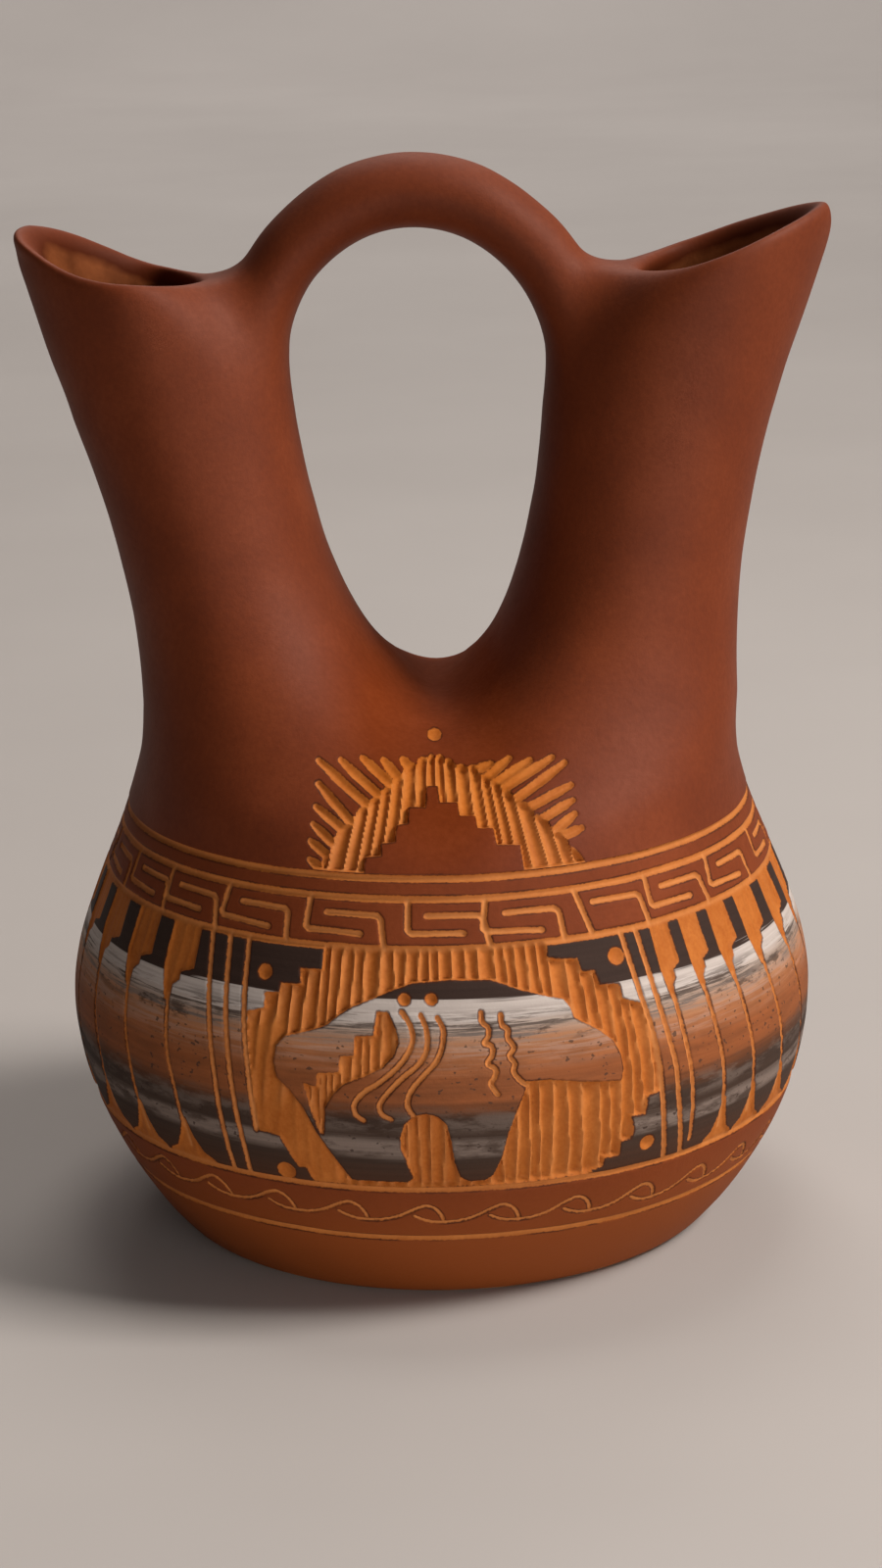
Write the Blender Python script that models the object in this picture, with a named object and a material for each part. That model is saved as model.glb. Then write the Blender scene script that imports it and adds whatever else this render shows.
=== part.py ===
"""Wedding vase: a round-bellied jar whose neck divides into two lipped spouts under one bridge handle.

Six clay sections, luted edge to edge: a foot dish, a belly wall, a saddle shoulder, two spouts and a bridge
handle. Metres, +Z up, the origin at the centre of the foot's underside, the spouts to left and right along X.
"""

import math

import bmesh
import bpy
from mathutils import Vector

# Turned body: a round bowl from the foot up to the belly, then an S-curve in to the waist.
FOOT_RADIUS = 0.0505
FOOT_RISE = 0.0095
FOOT_SPREAD = 0.0085
HEEL_FILLET = 0.0030
BELLY_RADIUS = 0.0693
BELLY_HEIGHT = 0.0431
BELLY_DROP = 0.0182
BELLY_FULLNESS = 0.0180
WAIST_RADIUS = 0.0540
WAIST_HEIGHT = 0.0991
WAIST_FULLNESS = 0.0207
WALL = 0.0050
FLOOR = 0.0060
FLOOR_FILLET = 0.0040

# Luted seams, with the slip's thickness left open between the sections.
FOOT_SEAM = 0.0144
SHOULDER_SEAM = 0.0808
SPOUT_SEAM = 0.1146
SEAM_GAP = 0.0003

# Saddle, where the shoulder closes over between the two spouts.
CROTCH_HEIGHT = 0.1018
SADDLE_DROP = 0.0070
SADDLE_DEPTH = 0.0440
SADDLE_STRIP = 0.0046
SADDLE_SQUARENESS = 2.6
SHOULDER_TURN = 0.54

# Window between the spouts: two half ellipses that meet at its widest height.
WINDOW_HALF_WIDTH = 0.0233
WINDOW_HEIGHT = 0.1591
WINDOW_TOP = 0.1844
WINDOW_PULL = 0.0011
WINDOW_TAPER = 1.95

# Spouts, with the rim low beside the handle and drawn up to a pointed lip outside.
SPOUT_ROOT_DEPTH = 0.0270
SPOUT_NECK_DEPTH = 0.0195
MOUTH_DEPTH = 0.0205
RIM_INNER = 0.0365
RIM_HEIGHT = 0.1756
TIP_REACH = 0.0728
TIP_HEIGHT = 0.1866
TIP_FLARE = 0.24
TIP_PULL = 0.0018
TIP_PINCH = 0.40
TIP_CREASE = 0.5
LIP = 0.0035
SPOUT_STRAIGHT = 0.0300
SPOUT_FULLNESS = 0.0380

# Bridge handle, an arch between the window's top and an outer ellipse on the same centre.
HANDLE_CROWN = 0.0136
HANDLE_LEG = 0.0117
HANDLE_WIDTH = 0.0165
HANDLE_SEAT_INSIDE = 0.0085
HANDLE_SEAT_OUTSIDE = 0.0200

# Facets.
TURN_STEPS = 48
PROFILE_STEPS = 12
FILLET_STEPS = 3
BODY_COLUMNS = 18
SPOUT_COLUMNS = 12
HANDLE_COLUMNS = 8
HANDLE_STATIONS = 5
HANDLE_STEP = 25
SMOOTHING = 2

# Clay, in linear colour.
SLIP_RED = (0.150, 0.040, 0.018)
RAW_CLAY = (0.330, 0.110, 0.030)
CLAY_ROUGHNESS = 0.6


def clear_scene():
    for obj in list(bpy.data.objects):
        bpy.data.objects.remove(obj, do_unlink=True)


def clay(name, colour):
    material = bpy.data.materials.new(name)
    material.use_nodes = True
    shader = material.node_tree.nodes["Principled BSDF"]
    shader.inputs["Base Color"].default_value = (*colour, 1.0)
    shader.inputs["Roughness"].default_value = CLAY_ROUGHNESS
    shader.inputs["Metallic"].default_value = 0.0
    return material


def add_object(name, bm, material=None):
    mesh = bpy.data.meshes.new(name)
    bm.to_mesh(mesh)
    bm.free()
    if material:
        mesh.materials.append(material)
    obj = bpy.data.objects.new(name, mesh)
    bpy.context.scene.collection.objects.link(obj)
    return obj


# Curves of the outline, in the plane of X and Z

def bezier(start, leave, arrive, end, t):
    s = 1 - t
    return start * s**3 + leave * (3 * s * s * t) + arrive * (3 * s * t * t) + end * t**3


def at_height(curve, z):
    """The X of a curve that climbs from t = 0 to t = 1, where it is at height z."""
    low, high = 0.0, 1.0
    for _ in range(40):
        middle = (low + high) / 2
        if curve(middle).y < z:
            low = middle
        else:
            high = middle
    return curve(low).x


def foot_to_belly(t):
    return bezier(
        Vector((FOOT_RADIUS, 0)),
        Vector((FOOT_RADIUS + FOOT_SPREAD, FOOT_RISE)),
        Vector((BELLY_RADIUS, BELLY_HEIGHT - BELLY_DROP)),
        Vector((BELLY_RADIUS, BELLY_HEIGHT)),
        t,
    )


def belly_to_waist(t):
    return bezier(
        Vector((BELLY_RADIUS, BELLY_HEIGHT)),
        Vector((BELLY_RADIUS, BELLY_HEIGHT + BELLY_FULLNESS)),
        Vector((WAIST_RADIUS, WAIST_HEIGHT - WAIST_FULLNESS)),
        Vector((WAIST_RADIUS, WAIST_HEIGHT)),
        t,
    )


def waist_to_tip(t):
    return bezier(
        Vector((WAIST_RADIUS, WAIST_HEIGHT)),
        Vector((WAIST_RADIUS, WAIST_HEIGHT + SPOUT_FULLNESS)),
        Vector((TIP_REACH - TIP_FLARE * SPOUT_STRAIGHT, TIP_HEIGHT - SPOUT_STRAIGHT)),
        Vector((TIP_REACH, TIP_HEIGHT)),
        t,
    )


def outer_x(z):
    """Half width of the vase's outline in the front view at height z."""
    if z < BELLY_HEIGHT:
        return at_height(foot_to_belly, z)
    if z < WAIST_HEIGHT:
        return at_height(belly_to_waist, z)
    return at_height(waist_to_tip, z)


def oval_x(half_width, half_height, rise, power=2.0):
    """Half width of an oval at a height over its centre. A power of two is an ellipse, a lower one tapers."""
    share = min(1.0, abs(rise) / half_height)
    return half_width * (1 - share**power) ** (1 / power)


def window_x(z):
    if z < WINDOW_HEIGHT:
        return oval_x(WINDOW_HALF_WIDTH, WINDOW_HEIGHT - CROTCH_HEIGHT, WINDOW_HEIGHT - z, WINDOW_TAPER)
    return oval_x(WINDOW_HALF_WIDTH, WINDOW_TOP - WINDOW_HEIGHT, z - WINDOW_HEIGHT)


def handle_outer_x(z):
    half_height = WINDOW_TOP + HANDLE_CROWN - WINDOW_HEIGHT
    return oval_x(WINDOW_HALF_WIDTH + HANDLE_LEG, half_height, z - WINDOW_HEIGHT)


def handle_seat():
    """Ends of the right seat's line in the front view: on the window's edge, and on the handle's outside."""
    inside = WINDOW_HEIGHT + HANDLE_SEAT_INSIDE
    outside = WINDOW_HEIGHT + HANDLE_SEAT_OUTSIDE
    return Vector((window_x(inside), inside)), Vector((handle_outer_x(outside), outside))


def past_everything():
    """A length that a cutter needs to pass through the whole vase."""
    return 2 * (WINDOW_TOP + HANDLE_CROWN)


# Turned sections

def fillet(before, corner, after, radius):
    """Points of an arc that rounds the corner between two straight runs."""
    back = (before - corner).normalized()
    on = (after - corner).normalized()
    half_angle = back.angle(on) / 2
    reach = radius / math.tan(half_angle)
    centre = corner + (back + on).normalized() * (radius / math.sin(half_angle))
    start = corner + back * reach - centre
    end = corner + on * reach - centre
    sweep = start.angle(end)
    points = []
    for i in range(FILLET_STEPS + 1):
        t = i / FILLET_STEPS
        blend = start * math.sin((1 - t) * sweep) + end * math.sin(t * sweep)
        points.append(centre + blend / math.sin(sweep))
    return points


def outer_run(low, high, steps, inset=0.0):
    """Points of the outline from the height low up to high, moved in by inset."""
    heights = [low + (high - low) * i / steps for i in range(steps + 1)]
    return [Vector((outer_x(z) - inset, z)) for z in heights]


def turned(name, profile, closed, material):
    """A profile of (radius, height) points turned once round the Z axis."""
    bm = bmesh.new()
    verts = [bm.verts.new((p.x, 0, p.y)) for p in profile]
    for a, b in zip(verts, verts[1:]):
        bm.edges.new((a, b))
    if closed:
        bm.edges.new((verts[-1], verts[0]))
    obj = add_object(name, bm, material)
    screw = obj.modifiers.new("turn", "SCREW")
    screw.steps = TURN_STEPS
    screw.render_steps = TURN_STEPS
    screw.use_merge_vertices = True
    screw.merge_threshold = 0.00001
    screw.use_smooth_shade = True
    return obj


def foot_dish(material):
    top = FOOT_SEAM - SEAM_GAP / 2
    side = outer_run(HEEL_FILLET, top, PROFILE_STEPS // 3)
    heel = fillet(side[0], Vector((FOOT_RADIUS, 0)), Vector((0, 0)), HEEL_FILLET)
    inner = Vector((outer_x(top) - WALL, top))
    corner = Vector((outer_x(FLOOR) - WALL, FLOOR))
    cove = fillet(Vector((0, FLOOR)), corner, inner, FLOOR_FILLET)
    profile = [Vector((0, FLOOR)), *cove, inner, *reversed(side[1:]), *heel, Vector((0, 0))]
    return turned("foot_dish", profile, False, material)


def belly_wall(material):
    low = FOOT_SEAM + SEAM_GAP / 2
    high = SHOULDER_SEAM - SEAM_GAP / 2
    outer = outer_run(low, high, PROFILE_STEPS)
    inner = outer_run(low, high, PROFILE_STEPS * 2 // 3, WALL)
    return turned("belly_wall", [*inner, *reversed(outer)], True, material)


# Neck: one cage for the shoulder, the spouts and the handle, which subdivision rounds

def cage_share(columns):
    """Radius of the smooth curve that a regular cage of so many corners gives, for a cage radius of one."""
    return (4 + 2 * math.cos(2 * math.pi / columns)) / 6


def body_points(z, half_depth, squareness):
    """Right half of an oval ring of the shoulder, from the front round the outside to the back."""
    share = cage_share(BODY_COLUMNS)
    half_width = outer_x(z)
    step = 2 * math.pi / BODY_COLUMNS
    points = []
    for i in range(BODY_COLUMNS // 2):
        angle = (i - (BODY_COLUMNS // 2 - 1) / 2) * step
        c, s = math.cos(angle), math.sin(angle)
        x = half_width / share * abs(c) ** (2 / squareness)
        y = half_depth / share * math.copysign(abs(s) ** (2 / squareness), s)
        points.append(Vector((x, y, z)))
    return points


def spout_points(inner, outer, half_depth, inner_z, outer_z, pinch=0.0):
    """One ring of the right spout, in the order of body_points and then back to front along the inside.

    A pinched ring narrows towards its outer end like a drop.
    """
    share = cage_share(SPOUT_COLUMNS)
    centre, half_width = (inner + outer) / 2, (outer - inner) / 2 / share
    points = []
    for i in range(SPOUT_COLUMNS):
        angle = (i - BODY_COLUMNS // 4) * 2 * math.pi / SPOUT_COLUMNS
        c, s = math.cos(angle), math.sin(angle)
        x = centre + half_width * c
        z = (inner_z + outer_z) / 2 + (outer_z - inner_z) / 2 * c
        narrow = 1 - pinch * ((1 + c) / 2) ** 2.5
        points.append(Vector((x, half_depth / share * s * narrow, z)))
    return points


def saddle_points(root_height):
    """The right edge of the strip that closes over the crotch, from the back to the front."""
    middle = (24 * CROTCH_HEIGHT - root_height) / 23
    flank = middle - SADDLE_DROP / 3
    half = SADDLE_DEPTH / 2
    return [
        Vector((SADDLE_STRIP, half, flank)),
        Vector((SADDLE_STRIP, 0, middle)),
        Vector((SADDLE_STRIP, -half, flank)),
    ]


def spout_levels():
    """Rings of the right spout from its root to its rim."""
    rise = WINDOW_HEIGHT - CROTCH_HEIGHT
    levels = []
    for share, depth, pull in ((0.2, 0.0, 0.0), (0.55, 0.6, 0.3), (1.0, 1.0, 1.0)):
        z = CROTCH_HEIGHT + rise * share
        half_depth = SPOUT_ROOT_DEPTH + (SPOUT_NECK_DEPTH - SPOUT_ROOT_DEPTH) * depth
        levels.append(spout_points(window_x(z) + pull * WINDOW_PULL, outer_x(z), half_depth, z, z))
    deck_z = (WINDOW_HEIGHT + RIM_HEIGHT) / 2
    deck_x = (WINDOW_HALF_WIDTH + RIM_INNER) / 2
    deck_tip = (WINDOW_HEIGHT + TIP_HEIGHT) / 2
    deck_depth = (SPOUT_NECK_DEPTH + MOUTH_DEPTH) / 2
    levels.append(spout_points(deck_x, outer_x(deck_tip), deck_depth, deck_z, deck_tip, TIP_PINCH / 2))
    rim = spout_points(RIM_INNER, TIP_REACH, MOUTH_DEPTH, RIM_HEIGHT, TIP_HEIGHT, TIP_PINCH)
    rim[BODY_COLUMNS // 4].x += TIP_PULL
    rim[SPOUT_COLUMNS - 1].y = -HANDLE_WIDTH / 2
    rim[SPOUT_COLUMNS - 3].y = HANDLE_WIDTH / 2
    levels.append(rim)
    return levels


def handle_section(centre, out):
    """One eight-sided section of the handle, out being its half thickness away from the window."""
    share = cage_share(HANDLE_COLUMNS)
    side = Vector((0, HANDLE_WIDTH / 2, 0))
    points = []
    for i in range(HANDLE_COLUMNS):
        angle = (i - 2) * 2 * math.pi / HANDLE_COLUMNS
        points.append(centre + (side * math.sin(angle) - out * math.cos(angle)) / share)
    return points


def handle_sections():
    """Sections of the handle from its right seat, over the crown, to its left seat."""
    inside, outside = handle_seat()
    low = Vector((inside.x + WINDOW_PULL, 0, inside.y))
    high = Vector((outside.x, 0, outside.y))
    sections = [handle_section((low + high) / 2, (high - low) / 2)]
    swell = cage_share(360 / HANDLE_STEP)
    across = (WINDOW_HALF_WIDTH + HANDLE_LEG / 2) / swell
    up = (WINDOW_TOP - WINDOW_HEIGHT + HANDLE_CROWN / 2) / swell
    for i in range(HANDLE_STATIONS):
        turn = math.radians((HANDLE_STATIONS // 2 - i) * HANDLE_STEP)
        centre = Vector((across * math.sin(turn), 0, WINDOW_HEIGHT + up * math.cos(turn)))
        out = Vector((math.sin(turn) / across, 0, math.cos(turn) / up)).normalized()
        thickness = HANDLE_CROWN * math.cos(turn) ** 2 + HANDLE_LEG * math.sin(turn) ** 2
        sections.append(handle_section(centre, out * thickness / 2))
    sections.append(mirrored(sections[0]))
    return sections


def mirrored(points):
    return [Vector((-p.x, p.y, p.z)) for p in points]


def foot_loop(neck, deck, rim):
    """The eight corners where the handle grows out of a spout, in the order of handle_section."""
    front, middle, back = SPOUT_COLUMNS - 1, SPOUT_COLUMNS - 2, SPOUT_COLUMNS - 3
    low = [neck[front], neck[middle], neck[back]]
    return [deck[front], *low, deck[back], rim[back], rim[middle], rim[front]]


def band(bm, low, high, flip=False):
    """Quads between two closed rings of vertices."""
    count = len(low)
    for i in range(count):
        j = (i + 1) % count
        corners = (low[i], low[j], high[j], high[i])
        bm.faces.new(reversed(corners) if flip else corners)


def strip(bm, right, left):
    """Quads of the saddle between its right and its left edge, both from the front to the back."""
    for i in range(len(right) - 1):
        bm.faces.new((right[i], right[i + 1], left[i + 1], left[i]))


def neck_cage():
    """The closed cage of the neck, from a little below the shoulder's seam to the rims and the handle."""
    bm = bmesh.new()
    split_z = CROTCH_HEIGHT - SADDLE_DROP
    round_depth = outer_x(SHOULDER_SEAM)
    under_z = SHOULDER_SEAM - SADDLE_DROP
    turn_z = SHOULDER_SEAM + (split_z - SHOULDER_SEAM) * SHOULDER_TURN
    turn_depth = round_depth + (SADDLE_DEPTH - round_depth) * SHOULDER_TURN**1.6
    body = []
    for z, half_depth, squareness in (
        (under_z, outer_x(under_z), 2.0),
        (SHOULDER_SEAM, round_depth, 2.0),
        (turn_z, turn_depth, 1 + SADDLE_SQUARENESS / 2),
        (split_z, SADDLE_DEPTH, SADDLE_SQUARENESS),
    ):
        right = body_points(z, half_depth, squareness)
        points = right + list(reversed(mirrored(right)))
        body.append([bm.verts.new(p) for p in points])
    for low, high in zip(body, body[1:]):
        band(bm, low, high)

    half = BODY_COLUMNS // 2
    levels = spout_levels()
    saddle = saddle_points(levels[0][-1].z)
    spouts = []
    for flip in (False, True):
        root = list(reversed(body[-1][half:])) if flip else body[-1][:half]
        root = root + [bm.verts.new(p) for p in (mirrored(saddle) if flip else saddle)]
        rings = [root]
        for level in levels:
            rings.append([bm.verts.new(p) for p in (mirrored(level) if flip else level)])
        for low, high in zip(rings, rings[1:]):
            band(bm, low, high, flip)
        spouts.append(rings)
    edges = [[r[0], *reversed(r[half:]), r[half - 1]] for r in (spouts[0][0], spouts[1][0])]
    strip(bm, *edges)

    bm.normal_update()
    inside = {}
    for ring in (body[0], body[1], *(r for rings in spouts for r in (rings[0], rings[1], rings[3]))):
        for vert in ring:
            if vert not in inside:
                inside[vert] = bm.verts.new(vert.co - vert.normal * WALL)
    for rings in spouts:
        for vert in rings[-1]:
            level_out = Vector((vert.normal.x, vert.normal.y, 0)).normalized()
            inside[vert] = bm.verts.new(vert.co - level_out * LIP)
    band(bm, [inside[v] for v in body[0]], [inside[v] for v in body[1]], True)
    band(bm, [inside[v] for v in body[1]], [inside[v] for v in body[-1]], True)
    band(bm, body[0], [inside[v] for v in body[0]], True)
    for rings, flip in zip(spouts, (True, False)):
        kept = [rings[0], rings[1], rings[3], rings[5]]
        for low, high in zip(kept, kept[1:]):
            band(bm, [inside[v] for v in low], [inside[v] for v in high], flip)
        band(bm, rings[5], [inside[v] for v in rings[5]], not flip)
    strip(bm, *([inside[v] for v in reversed(edge)] for edge in edges))

    stations = [[bm.verts.new(p) for p in points] for points in handle_sections()]
    feet = [foot_loop(rings[3], rings[4], rings[5]) for rings in spouts]
    for rings in spouts:
        bm.verts.remove(rings[4][SPOUT_COLUMNS - 2])
    chain = [feet[0], *stations, feet[1]]
    for low, high in zip(chain, chain[1:]):
        band(bm, low, high, True)

    crease = bm.edges.layers.float.new("crease_edge")
    for rings in spouts:
        tip = BODY_COLUMNS // 4
        for low, high in zip(rings[3:], rings[4:]):
            bm.edges.get((low[tip], high[tip]))[crease] = TIP_CREASE
    bmesh.ops.recalc_face_normals(bm, faces=bm.faces)
    for face in bm.faces:
        face.smooth = True
    return bm


# Cutters that part the neck into its sections

def prism(name, outline):
    """A hidden cutter: an outline of (x, z) points run through the whole vase along Y."""
    bm = bmesh.new()
    far = past_everything()
    face = bm.faces.new([bm.verts.new((p[0], -far, p[1])) for p in outline])
    made = bmesh.ops.extrude_face_region(bm, geom=[face])["geom"]
    moved = [v for v in made if isinstance(v, bmesh.types.BMVert)]
    bmesh.ops.translate(bm, verts=moved, vec=(0, 2 * far, 0))
    bmesh.ops.recalc_face_normals(bm, faces=bm.faces)
    obj = add_object(name, bm)
    obj.hide_render = True
    obj.display_type = "WIRE"
    return obj


def slab(name, left, right, low, high):
    return prism(name, [(left, low), (right, low), (right, high), (left, high)])


def handle_wedge(name, shift):
    """The wedge over the handle between its two seats, grown by shift."""
    low, high = handle_seat()
    run = (high - low).normalized()
    low += Vector((run.y, -run.x)) * shift
    apex = low - run * (low.x / run.x)
    top = low + run * past_everything()
    return prism(name, [apex, top, (-top.x, top.y)])


def neck_section(name, material, *cuts):
    """One section of the neck: the smoothed cage and the cuts that leave this section of it."""
    obj = add_object(name, neck_cage(), material)
    smooth = obj.modifiers.new("smooth", "SUBSURF")
    smooth.levels = SMOOTHING
    smooth.render_levels = SMOOTHING
    for operation, cutter in cuts:
        cut = obj.modifiers.new(cutter.name, "BOOLEAN")
        cut.operation = operation
        cut.solver = "EXACT"
        cut.object = cutter
    return obj


def build():
    clear_scene()
    half_gap = SEAM_GAP / 2
    far = past_everything()
    foot_dish(clay("foot_clay", RAW_CLAY))
    belly_wall(clay("belly_slip", SLIP_RED))
    shoulder = slab("shoulder_slab", -far, far, SHOULDER_SEAM + half_gap, SPOUT_SEAM - half_gap)
    right = slab("right_slab", 0, far, SPOUT_SEAM + half_gap, far)
    left = slab("left_slab", -far, 0, SPOUT_SEAM + half_gap, far)
    over_handle = handle_wedge("handle_wedge", -half_gap)
    off_spouts = handle_wedge("spout_wedge", half_gap)
    neck_section("saddle_shoulder", clay("shoulder_slip", SLIP_RED), ("INTERSECT", shoulder))
    neck_section("left_spout", clay("left_slip", SLIP_RED), ("INTERSECT", left), ("DIFFERENCE", off_spouts))
    neck_section("right_spout", clay("right_slip", SLIP_RED), ("INTERSECT", right), ("DIFFERENCE", off_spouts))
    neck_section("bridge_handle", clay("handle_slip", SLIP_RED), ("INTERSECT", over_handle))


build()
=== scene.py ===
import math

import bmesh
import bpy
import numpy as np
from mathutils import Matrix, Vector, noise


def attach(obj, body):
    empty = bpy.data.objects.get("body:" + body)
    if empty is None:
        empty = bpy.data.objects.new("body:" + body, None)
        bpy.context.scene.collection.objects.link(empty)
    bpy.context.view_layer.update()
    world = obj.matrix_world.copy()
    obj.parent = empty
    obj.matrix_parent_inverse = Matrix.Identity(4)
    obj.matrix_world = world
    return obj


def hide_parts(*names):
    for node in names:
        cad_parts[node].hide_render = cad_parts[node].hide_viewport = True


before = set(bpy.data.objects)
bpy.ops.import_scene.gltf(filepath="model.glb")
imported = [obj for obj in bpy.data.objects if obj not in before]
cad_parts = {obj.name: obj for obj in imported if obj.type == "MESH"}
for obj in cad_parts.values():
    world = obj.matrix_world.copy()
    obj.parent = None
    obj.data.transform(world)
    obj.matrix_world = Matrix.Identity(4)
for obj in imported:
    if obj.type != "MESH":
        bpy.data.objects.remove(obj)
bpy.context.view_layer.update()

mm = 0.001
fullTurn = 2 * math.pi

# sizes of the turned body and of the neck, in mm
bodyLine = {
    "footRadius": 50.5, "footRise": 9.5, "footSpread": 8.5, "heelFillet": 3.0,
    "bellyRadius": 69.3, "bellyHeight": 43.1, "bellyDrop": 18.2, "bellyFullness": 18.0,
    "waistRadius": 54.0, "waistHeight": 99.1, "waistFullness": 20.7,
    "wall": 5.0, "floor": 6.0, "floorFillet": 4.0,
    "footSeam": 14.4, "shoulderSeam": 80.8, "spoutSeam": 114.6,
    "tipReach": 72.8, "tipHeight": 186.6, "tipFlare": 0.24, "spoutStraight": 30.0, "spoutFullness": 38.0,
}


def bezierRun(start, leave, arrive, end, count=200):
    t = np.linspace(0, 1, count)[:, None]
    s = 1 - t
    start, leave, arrive, end = (np.array(p) for p in (start, leave, arrive, end))
    return s**3 * start + 3 * s * s * t * leave + 3 * s * t * t * arrive + t**3 * end


def bodyOutline():
    b = bodyLine
    widest = (b["bellyRadius"], b["bellyHeight"])
    waist = (b["waistRadius"], b["waistHeight"])
    lower = bezierRun((b["footRadius"], 0), (b["footRadius"] + b["footSpread"], b["footRise"]),
                      (b["bellyRadius"], b["bellyHeight"] - b["bellyDrop"]), widest)
    upper = bezierRun(widest, (b["bellyRadius"], b["bellyHeight"] + b["bellyFullness"]),
                      (b["waistRadius"], b["waistHeight"] - b["waistFullness"]), waist)
    straight = (b["tipReach"] - b["tipFlare"] * b["spoutStraight"], b["tipHeight"] - b["spoutStraight"])
    spout = bezierRun(waist, (b["waistRadius"], b["waistHeight"] + b["spoutFullness"]),
                      straight, (b["tipReach"], b["tipHeight"]))
    return np.vstack([lower, upper[1:], spout[1:]])


outline = bodyOutline()


def outlineRadius(z):
    return np.interp(z, outline[:, 1], outline[:, 0])


def smoothStep(low, high, value):
    t = np.clip((np.asarray(value, float) - low) / (high - low), 0, 1)
    return t * t * (3 - 2 * t)


# small helpers for edit mode

def deselectAll():
    if bpy.context.mode != "OBJECT":
        bpy.ops.object.mode_set(mode="OBJECT")
    bpy.ops.object.select_all(action="DESELECT")


def pickOnly(obj):
    deselectAll()
    obj.select_set(True)
    bpy.context.view_layer.objects.active = obj


def editMesh(obj):
    bm = bmesh.from_edit_mesh(obj.data)
    bm.verts.ensure_lookup_table()
    return bm


def showEdit(obj):
    bmesh.update_edit_mesh(obj.data)


def clearSelection(obj):
    bm = editMesh(obj)
    for items in (bm.faces, bm.edges, bm.verts):
        for item in items:
            item.select = False
    return bm


def selectVerts(obj, verts):
    bm = clearSelection(obj)
    for vert in verts:
        vert.select = True
    bm.select_flush_mode()
    bm.select_flush(True)
    showEdit(obj)


def selectEdges(obj, chosen):
    bm = clearSelection(obj)
    for edge in bm.edges:
        if chosen(edge):
            edge.select_set(True)
    showEdit(obj)


def pointOrder(item):
    return sum(index * 1000**i for i, index in enumerate(sorted(vert.index for vert in item.verts)))


def settleOrder(obj):
    # extruding leaves edges and faces in no fixed order, so they are put in the order of their points
    bm = editMesh(obj)
    bm.verts.index_update()
    for items in (bm.edges, bm.faces):
        items.sort(key=pointOrder)
        items.index_update()
    showEdit(obj)
    bpy.ops.object.mode_set(mode="OBJECT")
    ends = np.empty(len(obj.data.edges) * 2, np.int32)
    obj.data.edges.foreach_get("vertices", ends)
    obj.data.edges.foreach_set("vertices", np.sort(ends.reshape(-1, 2), axis=1).ravel())
    obj.data.update()


def readPoints(obj):
    flat = np.empty(len(obj.data.vertices) * 3)
    obj.data.vertices.foreach_get("co", flat)
    return flat.reshape(-1, 3) / mm


def writePoints(obj, points):
    obj.data.vertices.foreach_set("co", (points * mm).ravel())
    obj.data.update()


def writeAttribute(obj, name, values):
    layer = obj.data.attributes.get(name) or obj.data.attributes.new(name, "FLOAT", "POINT")
    layer.data.foreach_set("value", np.asarray(values, np.float32))


uncut = 4.0  # mm from a cut, where there is none


def writeCarving(obj, index=None, carve=None, paintedHighlight=None):
    for name, plain, values in (("carve", uncut, carve), ("paintedHighlight", 0.0, paintedHighlight)):
        whole = np.full(len(obj.data.vertices), plain)
        if index is not None:
            whole[index] = values
        writeAttribute(obj, name, whole)


# hand-made unevenness: the same wander for every piece, so that neighbours still meet
handMade = {"wander": 0.28, "wanderSize": 34.0, "ripple": 0.07, "rippleSize": 7.0, "seed": 7}
noise.seed_set(handMade["seed"])


def handWander(points):
    big, small = handMade["wanderSize"], handMade["rippleSize"]
    shift = np.array([list(noise.noise_vector(Vector(p) / big)) for p in points]) * handMade["wander"]
    shift += np.array([list(noise.noise_vector(Vector(p) / small)) for p in points]) * handMade["ripple"]
    shift *= smoothStep(0.5, 6.0, points[:, 2])[:, None]
    return points + shift


def finishPiece(obj, node, material, angle=55):
    obj.data.materials.clear()
    obj.data.materials.append(material)
    pickOnly(obj)
    bpy.ops.object.shade_smooth_by_angle(angle=math.radians(angle))
    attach(obj, "root")
    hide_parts(node)


# slips and clays, as sRGB values; a few of them are painted light and painted shade, not colours of the slip
slipColours = {
    "red": (101, 43, 17), "redDark": (94, 39, 15), "redPale": (108, 48, 21),
    # next line: a red painted lighter as bounce light from the floor, a red painted darker as shade inside
    # the mouths, and a dark brown painted as shade beside the cuts
    "redFloorLit": (132, 66, 25), "redMouthShade": (72, 29, 11), "cutEdgeShade": (62, 28, 13),
    # next line: the palest carved clay is a painted highlight
    "carved": (170, 98, 40), "carvedDark": (151, 80, 25), "highlightClay": (204, 142, 88),
    "rawClay": (122, 67, 36), "rawDark": (90, 46, 22), "foot": (66, 41, 28),
    "black": (49, 34, 28), "white": (172, 161, 155), "whiteWorn": (148, 128, 115),
    "tanPale": (154, 107, 77), "tan": (146, 91, 57), "brown": (128, 72, 39),
    "darkBrown": (82, 49, 30), "dark": (57, 42, 34), "grey": (112, 97, 89),
}


def srgb(colour):
    named = slipColours[colour] if isinstance(colour, str) else colour
    channels = [c / 255 for c in named]
    return [c / 12.92 if c <= 0.04045 else ((c + 0.055) / 1.055) ** 2.4 for c in channels] + [1.0]


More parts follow.
